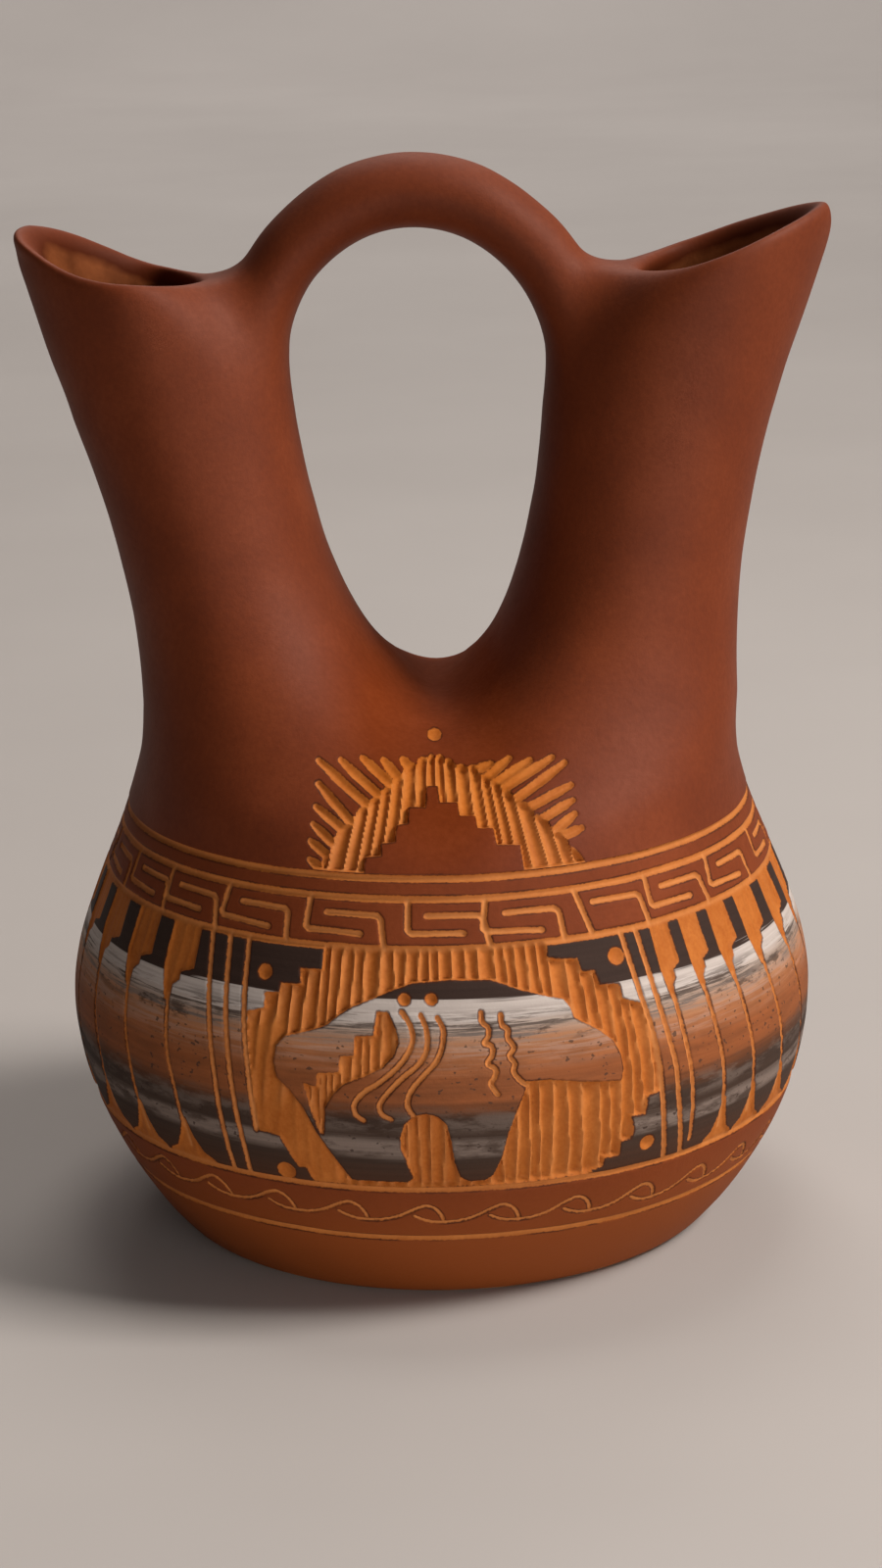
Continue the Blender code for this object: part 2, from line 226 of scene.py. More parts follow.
class Finish:
    # one material: each short call adds a node and hands back its output
    def __init__(self, name, roughness):
        self.material = bpy.data.materials.new(name)
        self.material.use_nodes = True
        self.nodes = self.material.node_tree.nodes
        self.links = self.material.node_tree.links
        self.shader = self.nodes["Principled BSDF"]
        self.feed(self.shader.inputs["Roughness"], roughness)
        self.feed(self.shader.inputs["Specular IOR Level"], 0.14)
        self.vector = self.nodes.new("ShaderNodeTexCoord").outputs["Object"]

    def height(self):
        split = self.nodes.new("ShaderNodeSeparateXYZ")
        self.links.new(self.vector, split.inputs["Vector"])
        return split.outputs["Z"]

    def feed(self, socket, value):
        if isinstance(value, bpy.types.NodeSocket):
            self.links.new(value, socket)
        else:
            socket.default_value = srgb(value) if isinstance(value, str) else value

    def drive(self, name, value):
        self.feed(self.shader.inputs[name], value)

    def noise(self, scale, detail=4.0, rough=0.55):
        # a scale for each axis draws the noise out into strokes
        vector = self.vector
        if isinstance(scale, tuple):
            stretch = self.nodes.new("ShaderNodeMapping")
            self.feed(stretch.inputs["Scale"], scale)
            self.links.new(vector, stretch.inputs["Vector"])
            vector, scale = stretch.outputs["Vector"], 1.0
        node = self.nodes.new("ShaderNodeTexNoise")
        settings = {"Vector": vector, "Scale": scale, "Detail": detail, "Roughness": rough}
        for name, value in settings.items():
            self.feed(node.inputs[name], value)
        return node.outputs["Fac"]

    def span(self, value, low, high, toLow=0.0, toHigh=1.0):
        node = self.nodes.new("ShaderNodeMapRange")
        settings = {"Value": value, "From Min": low, "From Max": high, "To Min": toLow, "To Max": toHigh}
        for name, given in settings.items():
            self.feed(node.inputs[name], given)
        return node.outputs["Result"]

    def calc(self, operation, first, second=0.0):
        node = self.nodes.new("ShaderNodeMath")
        node.operation = operation
        self.feed(node.inputs[0], first)
        self.feed(node.inputs[1], second)
        return node.outputs["Value"]

    def plus(self, first, second):
        return self.calc("ADD", first, second)

    def times(self, first, second):
        return self.calc("MULTIPLY", first, second)

    def swing(self, value, amount):
        # noise about its middle, to either side
        return self.times(self.calc("SUBTRACT", value, 0.5), amount)

    def blend(self, first, share, second):
        return self.plus(self.times(first, share), self.times(second, 1 - share))

    def mix(self, factor, first, second, mode="MIX"):
        node = self.nodes.new("ShaderNodeMix")
        node.data_type = "RGBA"
        node.blend_type = mode
        sockets = (node.inputs["Factor"], node.inputs[6], node.inputs[7])
        for socket, value in zip(sockets, (factor, first, second)):
            self.feed(socket, value)
        return node.outputs[2]

    def ramp(self, value, stops):
        node = self.nodes.new("ShaderNodeValToRGB")
        elements = node.color_ramp.elements
        while len(elements) < len(stops):
            elements.new(0.5)
        for element, (place, colour) in zip(elements, stops):
            element.position = place
            element.color = srgb(colour)
        self.feed(node.inputs["Fac"], value)
        return node.outputs["Color"]

    def attribute(self, name):
        node = self.nodes.new("ShaderNodeAttribute")
        node.attribute_name = name
        return node.outputs["Fac"]

    def bump(self, height, strength, distance):
        node = self.nodes.new("ShaderNodeBump")
        for name, value in {"Strength": strength, "Distance": distance, "Height": height}.items():
            self.feed(node.inputs[name], value)
        self.drive("Normal", node.outputs["Normal"])


def mottledRed(finish):
    tone = finish.blend(finish.noise(55.0, 5.0), 0.65, finish.noise(900.0, 3.0))
    return finish.ramp(tone, [(0.36, "redDark"), (0.5, "red"), (0.64, "redPale")]), tone


def carvedClay(finish):
    grain = finish.noise(1400.0, 3.0)
    tone = finish.blend(finish.noise(160.0, 4.0), 0.6, grain)
    clay = finish.ramp(tone, [(0.35, "carvedDark"), (0.62, "carved")])
    # painted highlight: the ridges between the gouges, and the middles of cut lines and rings, are painted
    # paler
    return finish.mix(finish.times(finish.attribute("paintedHighlight"), 0.4), clay, "highlightClay"), grain


def cutThrough(finish, slip, clay):
    # clay where the slip is cut away; painted shade, broken into patches, darkens the slip along a ragged
    # edge beside each cut
    edge = finish.plus(finish.attribute("carve"), finish.swing(finish.noise(1600.0, 2.0), 0.4))
    colour = finish.mix(finish.span(edge, 0.06, -0.06), slip, clay)
    cutEdgeShade = finish.span(finish.calc("ABSOLUTE", finish.calc("SUBTRACT", edge, 0.08)), 0.22, 0.05)
    broken = finish.span(finish.noise(170.0, 3.0), 0.4, 0.58, 0.15, 0.85)
    return finish.mix(finish.times(cutEdgeShade, broken), colour, "cutEdgeShade")


# slip bands from the foot of the band upwards, as heights in mm
bandStops = [
    (27.5, "foot"), (32.4, "dark"), (33.6, "grey"), (35.6, "grey"), (36.8, "dark"), (39.8, "dark"),
    (41.3, "darkBrown"), (43.8, "brown"), (47.5, "brown"), (51.0, "tan"), (53.6, "tanPale"),
    (55.8, "whiteWorn"), (57.4, "white"), (60.35, "white"), (60.5, "black"),
]
bands = {"low": 24.0, "high": 64.0, "redAbove": 68.8, "redBelow": 26.5, "floorLitFrom": 30.0, "floorLitTo": 13.0}


def makeBandedSlip():
    finish = Finish("bandedSlip", 0.7)
    z = finish.height()
    streak = finish.noise((14, 14, 900), 4.0, 0.6)
    offset = finish.plus(finish.swing(finish.noise((30, 30, 60), 2.0), 0.0016), finish.swing(streak, 0.0030))
    place = finish.span(finish.plus(z, offset), bands["low"] * mm, bands["high"] * mm)
    reach = bands["high"] - bands["low"]
    colour = finish.ramp(place, [((height - bands["low"]) / reach, name) for height, name in bandStops])
    shade = finish.span(finish.noise((20, 20, 1000), 5.0, 0.65), 0.3, 0.7, 0.82, 1.12)
    comb = finish.nodes.new("ShaderNodeCombineColor")
    for socket in comb.inputs:
        finish.feed(socket, shade)
    colour = finish.mix(1.0, colour, comb.outputs["Color"], "MULTIPLY")
    # dry brush: broken strokes at the edges of the bands, in patches, and dark specks
    dry = finish.span(finish.noise((60, 60, 1400), 6.0, 0.7), 0.48, 0.56)
    stroke = finish.times(dry, finish.span(finish.noise((38, 38, 20), 2.0), 0.36, 0.5))
    speck = finish.span(finish.noise((800, 800, 1100), 1.0), 0.66, 0.71)
    smear = finish.noise((110, 110, 420), 5.0, 0.65)
    daub = finish.span(smear, 0.46, 0.6)
    blot = finish.span(smear, 0.55, 0.62)
    # each: the mark, where it fades in and out by height in mm, how strong, and its colour
    marks = [
        (stroke, (52.8, 54.5, 57.0, 59.5), 0.9, "dark"), (dry, (48.0, 52.0, 55.0, 57.0), 0.2, "white"),
        (daub, (37.0, 38.5, 40.5, 43.5), 0.45, "grey"), (daub, (31.5, 33.0, 36.0, 38.0), 0.8, "dark"),
        (daub, (40.0, 42.0, 50.0, 54.0), 0.25, "darkBrown"), (blot, (52.5, 54.0, 55.5, 57.5), 0.75, "dark"),
        (speck, (40.0, 42.0, 53.0, 56.0), 0.75, "dark"), (speck, (33.0, 34.0, 38.0, 40.0), 0.8, "black"),
    ]
    for mark, (low, lowFull, highFull, high), amount, name in marks:
        rise = finish.span(z, low * mm, lowFull * mm)
        within = finish.times(rise, finish.span(z, high * mm, highFull * mm))
        colour = finish.mix(finish.times(finish.times(mark, within), amount), colour, name)
    # red slip above the meander's base line and below the wave band's top line, painted lighter and more
    # orange towards the foot as painted bounce light from the floor
    red = mottledRed(finish)[0]
    floorLit = finish.span(z, bands["floorLitFrom"] * mm, bands["floorLitTo"] * mm, 0.15, 0.85)
    floorLitRed = finish.mix(floorLit, red, "redFloorLit")
    above = finish.span(z, bands["redAbove"] * mm, (bands["redAbove"] + 0.1) * mm)
    below = finish.span(z, bands["redBelow"] * mm, (bands["redBelow"] - 0.1) * mm)
    slip = finish.mix(finish.calc("MAXIMUM", above, below), colour, floorLitRed)
    clay, grain = carvedClay(finish)
    finish.drive("Base Color", cutThrough(finish, slip, clay))
    finish.bump(finish.blend(streak, 0.5, grain), 0.25, 0.0004)
    return finish.material


def makeRedSlip():
    finish = Finish("neckSlip", 0.5)
    red, tone = mottledRed(finish)
    clay, grain = carvedClay(finish)
    depth = finish.attribute("depthIn")
    # slip is dipped a little way into each mouth, with raw clay below it; the slip inside the lip is painted
    # darker as shade inside the mouth
    raw = finish.mix(finish.span(finish.noise(120.0), 0.35, 0.65), "rawClay", "rawDark")
    dip = finish.span(finish.plus(depth, finish.swing(finish.noise(130.0, 2.0), 4.0)), 3.2, 4.8)
    colour = finish.mix(dip, finish.mix(finish.span(depth, -2.0, 3.0), red, "redMouthShade"), raw)
    finish.drive("Base Color", cutThrough(finish, colour, clay))
    gloss = finish.span(depth, -2.0, 3.0, 0.17, 0.03)
    finish.drive("Specular IOR Level", finish.times(gloss, finish.attribute("burnish")))
    finish.drive("Roughness", finish.span(tone, 0.35, 0.65, 0.66, 0.6))
    finish.bump(grain, 0.2, 0.0002)
    return finish.material


def makeFootClay():
    finish = Finish("footClay", 0.7)
    red = mottledRed(finish)[0]
    raw = finish.mix(finish.span(finish.noise(90.0), 0.35, 0.65), "rawClay", "carved")
    # slip wiped off the heel: raw clay under a wavering edge
    waver = finish.swing(finish.noise(110.0, 3.0), 0.0022)
    wiped = finish.span(finish.plus(finish.height(), waver), 0.0011, 0.0005)
    # painted bounce light: the foot's red slip is painted lighter and more orange, as lit from the floor
    finish.drive("Base Color", finish.mix(wiped, finish.mix(0.85, red, "redFloorLit"), raw))
    finish.bump(finish.noise(1400.0, 3.0), 0.25, 0.0002)
    return finish.material


bandedSlip = makeBandedSlip()
print("slips and clays ready")


# turned pieces: a profile drawn by extruding one vertex, then spun

def spinProfile(name, profile, firstAngle, sweep, steps, closed):
    deselectAll()
    bpy.ops.mesh.primitive_plane_add(size=mm)
    obj = bpy.context.object
    obj.name = name
    obj.data.name = name
    bpy.ops.object.mode_set(mode="EDIT")
    bpy.ops.mesh.select_all(action="SELECT")
    bpy.ops.mesh.merge(type="CENTER")
    turn = Matrix.Rotation(firstAngle, 3, "Z")
    spots = [turn @ Vector((0, -r * mm, z * mm)) for r, z in profile]
    bpy.ops.transform.translate(value=spots[0])
    for last, spot in zip(spots, spots[1:]):
        bpy.ops.mesh.extrude_vertices_move(TRANSFORM_OT_translate={"value": spot - last})
    if closed:
        bm = editMesh(obj)
        selectVerts(obj, [bm.verts[0], bm.verts[-1]])
        bpy.ops.mesh.edge_face_add()
    bpy.ops.object.mode_set(mode="OBJECT")
    lathe = obj.modifiers.new("lathe", "SCREW")
    lathe.angle = sweep
    lathe.steps = steps
    lathe.render_steps = steps
    bpy.ops.object.modifier_apply(modifier="lathe")
    bpy.ops.object.mode_set(mode="EDIT")
    bpy.ops.mesh.select_all(action="SELECT")
    bpy.ops.mesh.remove_doubles(threshold=0.000004)
    if sweep < fullTurn - 0.001:
        bpy.ops.mesh.select_all(action="DESELECT")
        bpy.ops.mesh.select_non_manifold()
        bpy.ops.mesh.fill_holes(sides=0)
        bpy.ops.mesh.select_all(action="SELECT")
    bpy.ops.mesh.normals_make_consistent(inside=False)
    bpy.ops.object.mode_set(mode="OBJECT")
    return obj


def arcPoints(centre, radius, first, last, count):
    angles = np.radians(np.linspace(first, last, count))
    return [(centre[0] + radius * math.cos(a), centre[1] + radius * math.sin(a)) for a in angles]


def outlineRun(low, high, step, inset=0.0):
    # evenly spaced along the curve, not along the height
    z = np.linspace(low, high, 600)
    r = outlineRadius(z)
    length = np.concatenate([[0], np.cumsum(np.hypot(np.diff(r), np.diff(z)))])
    count = max(2, int(round(length[-1] / step)))
    even = np.linspace(0, length[-1], count + 1)
    return [(float(np.interp(a, length, r)) - inset, float(np.interp(a, length, z))) for a in even]


foot = {
    "steps": 240, "row": 0.8, "heelStart": 0.12, "heelRows": 8, "floorRows": [40.0, 20.0, 0.0], "angle": 40,
}


def makeFoot():
    b = bodyLine
    start = 0.6 * b["heelFillet"]
    side = outlineRun(start, b["footSeam"], foot["row"])
    heel = []
    for t in np.linspace(foot["heelStart"], 1, foot["heelRows"]):
        s = 1 - t
        r = s * s * float(outlineRadius(start)) + 2 * s * t * b["footRadius"]
        r += t * t * (b["footRadius"] - start)
        heel.append((r, s * s * start))
    under = [(r, 0.0) for r in foot["floorRows"]]
    inside = [(r, b["floor"]) for r in foot["floorRows"][::-1]]
    fillet = b["floorFillet"]
    corner = (outlineRadius(b["floor"]) - b["wall"] - fillet, b["floor"] + fillet)
    inside += arcPoints(corner, fillet, -90, -20, 6)
    inside += [(outlineRadius(b["footSeam"]) - b["wall"], b["footSeam"])]
    profile = inside + side[::-1] + heel + under
    obj = spinProfile("footDish", profile, 0.0, fullTurn, foot["steps"], False)
    writePoints(obj, handWander(readPoints(obj)))
    finishPiece(obj, "foot_dish", makeFootClay(), foot["angle"])


makeFoot()
print("foot turned")


# ornament on the belly, drawn as (along, height) in mm: along runs round the widest girth, 0 at the front
ornament = {
    "topRing": 80.1, "meanderTop": 76.8, "meanderBase": 68.9, "waveTop": 26.3, "waveBase": 15.2,
    "ringWidth": 1.3, "meanderWidth": 1.15, "waveWidth": 0.7, "stripeWidth": 1.05, "stemWidth": 0.9,
    "sweepWidth": 0.95, "dotDepth": 0.55, "barGouge": 0.12, "footGouge": 0.1, "featherGougeWidth": 1.6,
    "lineDepth": 0.52, "fieldDepth": 0.3, "gougeDepth": 0.9, "gougeWidth": 2.45, "gougeSlant": 0.05,
    "wallRun": 0.45, "highlightShare": 0.7, "shortStroke": 28.1, "lastPitch": 12.7, "barShare": 0.63,
    "waves": 30, "waveStart": -18.5,
}
girth = 2 * math.pi * bodyLine["bellyRadius"]

# carved field round the animal, with a stepped edge
fieldEdge = [
    (-23, 69), (21, 69), (20.5, 66.5), (23, 66), (26.5, 65.7), (27, 63.5), (29.5, 63.4), (30, 61),
    (34, 60.6), (34.2, 58), (38, 56.6), (38.5, 53.5), (40, 44), (40, 40.5), (37.5, 40), (37, 36.7),
    (34.2, 36.9), (35, 34), (34.5, 32.5), (32.5, 32.4), (32.4, 29.6), (29.5, 29.5), (29.3, 28), (26.5, 27),
    (-24.5, 27), (-25.5, 29.5), (-27, 29.6), (-30, 35.5), (-34.4, 36), (-35, 45.5), (-37, 57), (-33.6, 58),
    (-34, 60.5), (-31, 60.8), (-31, 62.3), (-27, 62.5), (-27.5, 65), (-23, 65.1),
]
# the animal, left standing in slip: back, rump, hind leg, belly, foreleg, chest, snout
animalEdge = [
    (-24.5, 55), (-21.5, 56), (-19, 58), (-16.5, 59.5), (-13.5, 60.7), (-9, 62.5), (-5.5, 63.5), (1.5, 64),
    (9, 63.7), (14.5, 61.7), (19.5, 60.2), (22.5, 59.5), (23.5, 58), (24, 56.2), (26, 55), (28.5, 53.5),
    (31, 51.3), (32.3, 48.5), (32.5, 46), (32, 44.2), (25.5, 45), (18.5, 46.3), (14.5, 46.5), (14, 44.5),
    (12.5, 41), (11, 37), (10, 32.5), (8.5, 29), (7, 28), (4, 28), (2.5, 29), (1.5, 32), (1, 36),
    (0.2, 39.5), (-1.5, 41), (-3.5, 41.5), (-5.5, 41), (-7.2, 39.5), (-8, 37), (-8, 35), (-7, 32),
    (-6, 28.7), (-7, 28), (-17, 28), (-19.5, 32), (-23, 37.5), (-25, 41.5), (-27.5, 44.5), (-30, 46.5),
    (-30.7, 49), (-30.5, 52), (-29, 53.7),
]
# feather on its shoulder
featherEdge = [
    (-12, 59), (-10, 59), (-8.5, 56), (-8, 54), (-9, 51.5), (-11, 49.5), (-14, 48), (-17.5, 46.5),
    (-19.5, 44.5), (-21, 42), (-21.5, 36.7), (-22.3, 37), (-23.5, 40.5), (-25, 46), (-22.6, 45.6),
    (-22.5, 48), (-18.6, 48.4), (-18.5, 51.2), (-16, 51.5), (-16, 54.7), (-12.6, 55),
]
sweepLines = [
    [(-7.5, 59), (-6, 57), (-5.5, 54.5), (-6.5, 52), (-8.5, 49.5), (-11.5, 47), (-14, 45.3), (-15.8, 43),
     (-15.6, 41), (-14.3, 40)],
    [(-4, 58.5), (-3, 56), (-3, 53), (-4.3, 50.5), (-7.3, 48), (-10, 45.2), (-11.4, 43), (-11, 41.2),
     (-9.5, 40.4)],
    [(-1, 58), (0, 56), (-0.4, 53), (-1.6, 50.5), (-4, 48), (-6, 45.5), (-6.6, 43), (-5.6, 41)],
    [(7, 58.5), (7, 57), (8.1, 56), (8, 54.5), (7.2, 53.5), (8.5, 53), (8.6, 51.5), (7.6, 50), (9, 49),
     (8.7, 47.5), (8, 46.5), (9.2, 44.5)],
    [(10.5, 58), (10.6, 56.3), (11.6, 55.5), (11.5, 54), (12.5, 52.5), (11.6, 51), (12.5, 49.6),
     (12.1, 48.4), (13, 47), (14.2, 45.8)],
]
stripes = [
    [(-48.5, 69), (-46, 58), (-43, 46), (-42, 38), (-41, 26.5)],
    [(-44, 69), (-42, 58), (-39.5, 46.5), (-37.8, 34), (-37.5, 26.5)],
    [(-39.5, 69), (-38, 58.5), (-35.5, 45.5), (-34.5, 36)],
    [(36.5, 69), (38, 58), (39.5, 49), (40.5, 39), (42.5, 26.5)],
    [(40, 69), (41.5, 55.5), (43.5, 44), (44.2, 38), (46.5, 26.5)],
]
dots = [
    (-34.5, 63.7, 1.45), (34.5, 65, 1.6), (38, 31, 1.5), (-7, 61, 1.15), (-2, 61, 1.1), (-29.5, 28.4, 1.8),
]
meanderSpots = [-80.2, -64.5, -46.6, -26.9, -6.5, 9.2, 28.1, 45.4, 64.4] + [87 + 17.88 * i for i in range(15)]
# running wave: out of a hook, along the trough, up and over the next crest
waveCrest = [
    (-2.2, 20.9), (-0.7, 20.1), (1.5, 19.5), (4, 19.4), (7, 19.8), (9.5, 20.6), (12, 21.9), (14.3, 22.8),
    (16.0, 22.4), (17.2, 21.1), (17.7, 19.8),
]
# left edges of the hanging feathers, closer together towards the right of the field
featherSpots = [43.4, 51.0, 59.5] + [69.4 + 12.74 * i for i in range(23)] + [363.4, 376.1]
# a hanging feather, across in shares of its width: a bar stepped in on its right side, and a stem
featherBar = [
    (0, 69), (1, 69), (1.05, 61.7), (0.66, 60.7), (0.66, 59.3), (0.47, 58.2), (0.45, 55.6), (0.28, 55.4),
    (0.15, 58), (0.03, 61),
]
featherStem = [(0.38, 56.5), (0.55, 48.5), (0.8, 41), (0.95, 33.5), (1.0, 29)]
# its flared foot, across in shares of the pitch
featherFoot = [
    (0.13, 31.5), (0.27, 28.6), (0.47, 27.4), (0.47, 26), (-0.47, 26), (-0.47, 27.4), (-0.27, 28.6),
    (-0.14, 31.5),
]


def onBelly(along, z):
    angle = along / bodyLine["bellyRadius"]
    r = float(outlineRadius(z))
    return (r * math.sin(angle), -r * math.cos(angle), z)


def roundPath(path, perSpan=4):
    # a smooth curve through the points
    ends = [path[0], *path, path[-1]]
    result = []
    for a, b, c, d in zip(ends, ends[1:], ends[2:], ends[3:]):
        a, b, c, d = (np.array(p, float) for p in (a, b, c, d))
        for i in range(perSpan):
            t = i / perSpan
            bend = (2 * a - 5 * b + 4 * c - d) * t * t + (3 * b - a - 3 * c + d) * t**3
            result.append(0.5 * (2 * b + (c - a) * t + bend))
    return [tuple(p) for p in result] + [path[-1]]


def pathDistance(points, path):
    path = np.array(path, float)
    best = np.full(len(points), 1e9)
    for a, b in zip(path, path[1:]):
        run = b - a
        t = np.clip((points - a) @ run / max(run @ run, 1e-9), 0, 1)
        best = np.minimum(best, ((points - a - t[:, None] * run) ** 2).sum(1))
    return np.sqrt(best)


def insideOutline(along, z, edge):
    inside = np.zeros(len(along), bool)
    for (x1, z1), (x2, z2) in zip(edge, edge[1:] + edge[:1]):
        if z1 == z2:
            continue
        crosses = (z1 > z) != (z2 > z)
        inside ^= crosses & (along < (x2 - x1) * (z - z1) / (z2 - z1) + x1)
    return inside


def bowl(distance, half):
    t = np.clip(-distance / half, 0, 1)
    return 1 - (1 - t) ** 2


def scallopAt(phase):
    # rounded flutes side by side, one to a phase
    return 1 - np.abs(2 * (phase % 1) - 1) ** 2.2


class Skin:
    # the outer skin of a carved piece: its points, how far each is from a cut, how deep it is cut, and how
    # strongly it is painted with a highlight
    def __init__(self, points, outer):
        self.points = points[outer]
        self.along = bodyLine["bellyRadius"] * np.arctan2(self.points[:, 0], -self.points[:, 1])
        self.z = self.points[:, 2]
        self.carve = np.full(len(self.points), uncut)
        self.depth = np.zeros(len(self.points))
        self.paintedHighlight = np.zeros(len(self.points))

    def near(self, path, margin):
        spots = np.array(path)[:, :2]
        middle = (spots[:, 0].min() + spots[:, 0].max()) / 2
        along = (self.along - middle + girth / 2) % girth - girth / 2 + middle
        reach = margin * 1.5
        close = (along > spots[:, 0].min() - reach) & (along < spots[:, 0].max() + reach)
        close &= (self.z > spots[:, 1].min() - margin) & (self.z < spots[:, 1].max() + margin)
        return np.nonzero(close)[0], along[close]

    def cut(self, index, distance, depth):
        self.carve[index] = np.minimum(self.carve[index], distance)
        self.depth[index] = np.maximum(self.depth[index], depth)

    def line(self, path, width, depth):
        index = self.near(path, width + 0.8)[0]
        if len(index):
            distance = pathDistance(self.points[index], [onBelly(*p) for p in path]) - width / 2
            self.cut(index, distance, depth * bowl(distance, width / 2))
            # painted highlight along the middle of the cut line
            self.paintedHighlight[index] = np.maximum(self.paintedHighlight[index], bowl(distance, width / 2))

    def dot(self, along, z, radius, depth):
        index = self.near([(along, z)], radius + 1.0)[0]
        if len(index):
            distance = np.sqrt(((self.points[index] - onBelly(along, z)) ** 2).sum(1)) - radius
            self.cut(index, distance, depth * bowl(distance, radius))

    def ring(self, z, width, depth):
        r = float(outlineRadius(z))
        here = np.hypot(self.points[:, 0], self.points[:, 1])
        distance = np.hypot(here - r, self.z - z) - width / 2
        self.cut(np.arange(len(distance)), distance, depth * bowl(distance, width / 2))
        # painted highlight along the middle of the ring, a little weaker
        self.paintedHighlight = np.maximum(self.paintedHighlight, 0.6 * bowl(distance, width / 2))

    def edgeDistance(self, index, along, edge):
        loop = list(edge) + [edge[0]]
        dense = []
        for (x1, z1), (x2, z2) in zip(loop, loop[1:]):
            count = max(1, int(abs(x2 - x1) / 3))
            dense += [(x1 + (x2 - x1) * i / count, z1 + (z2 - z1) * i / count) for i in range(count)]
        dense.append(loop[0])
        distance = pathDistance(self.points[index], [onBelly(*p) for p in dense])
        return np.where(insideOutline(along, self.z[index], list(edge)), -distance, distance)

    def field(self, edge, keep, depth, gouge, slant=0.0, period=None):
        index, along = self.near(edge, 1.5)
        if not len(index):
            return
        distance = self.edgeDistance(index, along, edge)
        for shape in keep:
            distance = np.maximum(distance, -self.edgeDistance(index, along, shape))
        z = self.z[index]
        drift = 0.5 * np.sin(along * 0.35 + 1.0) + 0.25 * np.sin(along * 0.9 + z * 0.12)
        drift += 0.07 * np.sin(z * 0.9 + along * 1.7) + 0.03 * np.sin(z * 2.3 - along * 0.8)
        phase = (along + slant * (z - 45) * along / 30 + drift) / (period or ornament["gougeWidth"])
        scallop = scallopAt(phase)
        # the strip by the chest is scraped flat
        flat = 0.0
        if keep:
            chest = smoothStep(-17, -21, along) * smoothStep(46, 40, z)
            flat = np.maximum(chest, 0.7 * smoothStep(-28, -31, along) * smoothStep(58, 54, z))
        wall = smoothStep(0, ornament["wallRun"], -distance)
        self.cut(index, distance, wall * (depth + gouge * scallop * (1 - 0.85 * flat)))
        # painted highlight on the ridges between the gouges; shallow gouges get none
        if gouge > 0.3:
            crest = ornament["highlightShare"] * wall * (1 - scallop) * (1 - flat)
            self.paintedHighlight[index] = np.maximum(self.paintedHighlight[index], crest)


def featherShape(left, width, pitch):
    bar = [(left + share * width, z) for share, z in featherBar]
    stem = [(left + share * width, z) for share, z in featherStem]
    base = left + width
    foot = [(base - 0.5, 35), (base + 0.4, 35)]
    return bar, stem, foot + [(base + share * pitch, z) for share, z in featherFoot]


def carveBelly(skin):
    o = ornament
    for z in (o["topRing"], o["meanderTop"], o["meanderBase"], o["waveTop"], o["waveBase"]):
        skin.ring(z, o["ringWidth"], o["lineDepth"])
    skin.field(fieldEdge, [animalEdge], o["fieldDepth"], o["gougeDepth"], o["gougeSlant"])
    skin.field(featherEdge, [], o["fieldDepth"], o["gougeDepth"] * 0.7, 0.0, o["featherGougeWidth"])
    for path in sweepLines:
        skin.line(roundPath(path), o["sweepWidth"], o["lineDepth"])
    for path in stripes:
        skin.line(roundPath(path), o["stripeWidth"], o["lineDepth"])
    for along, z, radius in dots:
        skin.dot(along, z, radius, o["dotDepth"])
    # meander: two bent strokes to a unit, one hung from the top line and one stood on the base line
    for i, start in enumerate(meanderSpots):
        tilt = 0.5 * math.sin(i * 2.1)
        hung = [(start, o["meanderTop"]), (start - 0.4 + tilt, 71.9), (start + 0.4 + tilt, 71.4)]
        hung.append((start + 11, 71.1 + 0.5 * tilt))
        if start == o["shortStroke"]:
            hung = [(start, o["meanderTop"]), (start + 2.4, 69.4)]
        skin.line(hung, o["meanderWidth"], o["lineDepth"])
        stood = [(start + 3.8, 74.2), (start + 9, 74.2), (start + 14.2, 74.1), (start + 15, 73.5)]
        stood.append((start + 15.8 + tilt, o["meanderBase"]))
        skin.line(stood, o["meanderWidth"], o["lineDepth"])
    pitch = girth / o["waves"]
    for i in range(o["waves"]):
        c = o["waveStart"] + i * pitch
        drop = -0.5 - 1.6 * math.sin(c / bodyLine["bellyRadius"])
        crest = roundPath([(c + x, z + drop) for x, z in waveCrest])
        skin.line(crest, o["waveWidth"], o["lineDepth"] * 0.75)
    followers = featherSpots[1:] + [featherSpots[-1] + o["lastPitch"]]
    for i, (left, following) in enumerate(zip(featherSpots, followers)):
        pitch = following - left
        bar, stem, footShape = featherShape(left, pitch * o["barShare"], pitch)
        skin.field(bar, [], o["fieldDepth"], o["barGouge"])
        skin.line(roundPath(stem), o["stemWidth"], o["lineDepth"])
        if i:
            skin.field(footShape, [], o["fieldDepth"], o["footGouge"])


belly = {"frontHalfAngle": 62.0, "frontStep": 0.36, "backStep": 0.5, "insideRows": 12, "angle": 60}


def makeBelly(name, firstDegrees, sweepDegrees, step):
    b = bodyLine
    outer = outlineRun(b["footSeam"], b["shoulderSeam"], step)
    inner = outlineRun(b["footSeam"], b["shoulderSeam"], 70.0 / belly["insideRows"], b["wall"])
    sweep = math.radians(sweepDegrees)
    steps = int(round(sweep * b["bellyRadius"] / step))
    obj = spinProfile(name, inner + outer[::-1], math.radians(firstDegrees), sweep, steps, True)
    points = readPoints(obj)
    radius = np.hypot(points[:, 0], points[:, 1])
    outward = np.nonzero(radius > outlineRadius(points[:, 2]) - 0.4)[0]
    skin = Skin(points, outward)
    carveBelly(skin)
    # cuts go in square to the skin
    z = points[outward, 2]
    slope = (outlineRadius(z + 0.2) - outlineRadius(z - 0.2)) / 0.4
    facing = points[outward, :2] / radius[outward, None]
    normal = np.column_stack([facing, -slope]) / np.hypot(1, slope)[:, None]
    moved = handWander(points)
    moved[outward] -= normal * skin.depth[:, None]
    writePoints(obj, moved)
    writeCarving(obj, outward, skin.carve, skin.paintedHighlight)
    finishPiece(obj, "belly_wall", bandedSlip, belly["angle"])
    print(name, "carved,", len(points), "points")


makeBelly("bellyFront", -belly["frontHalfAngle"], 2 * belly["frontHalfAngle"], belly["frontStep"])
makeBelly("bellyBack", belly["frontHalfAngle"], 360 - 2 * belly["frontHalfAngle"], belly["backStep"])


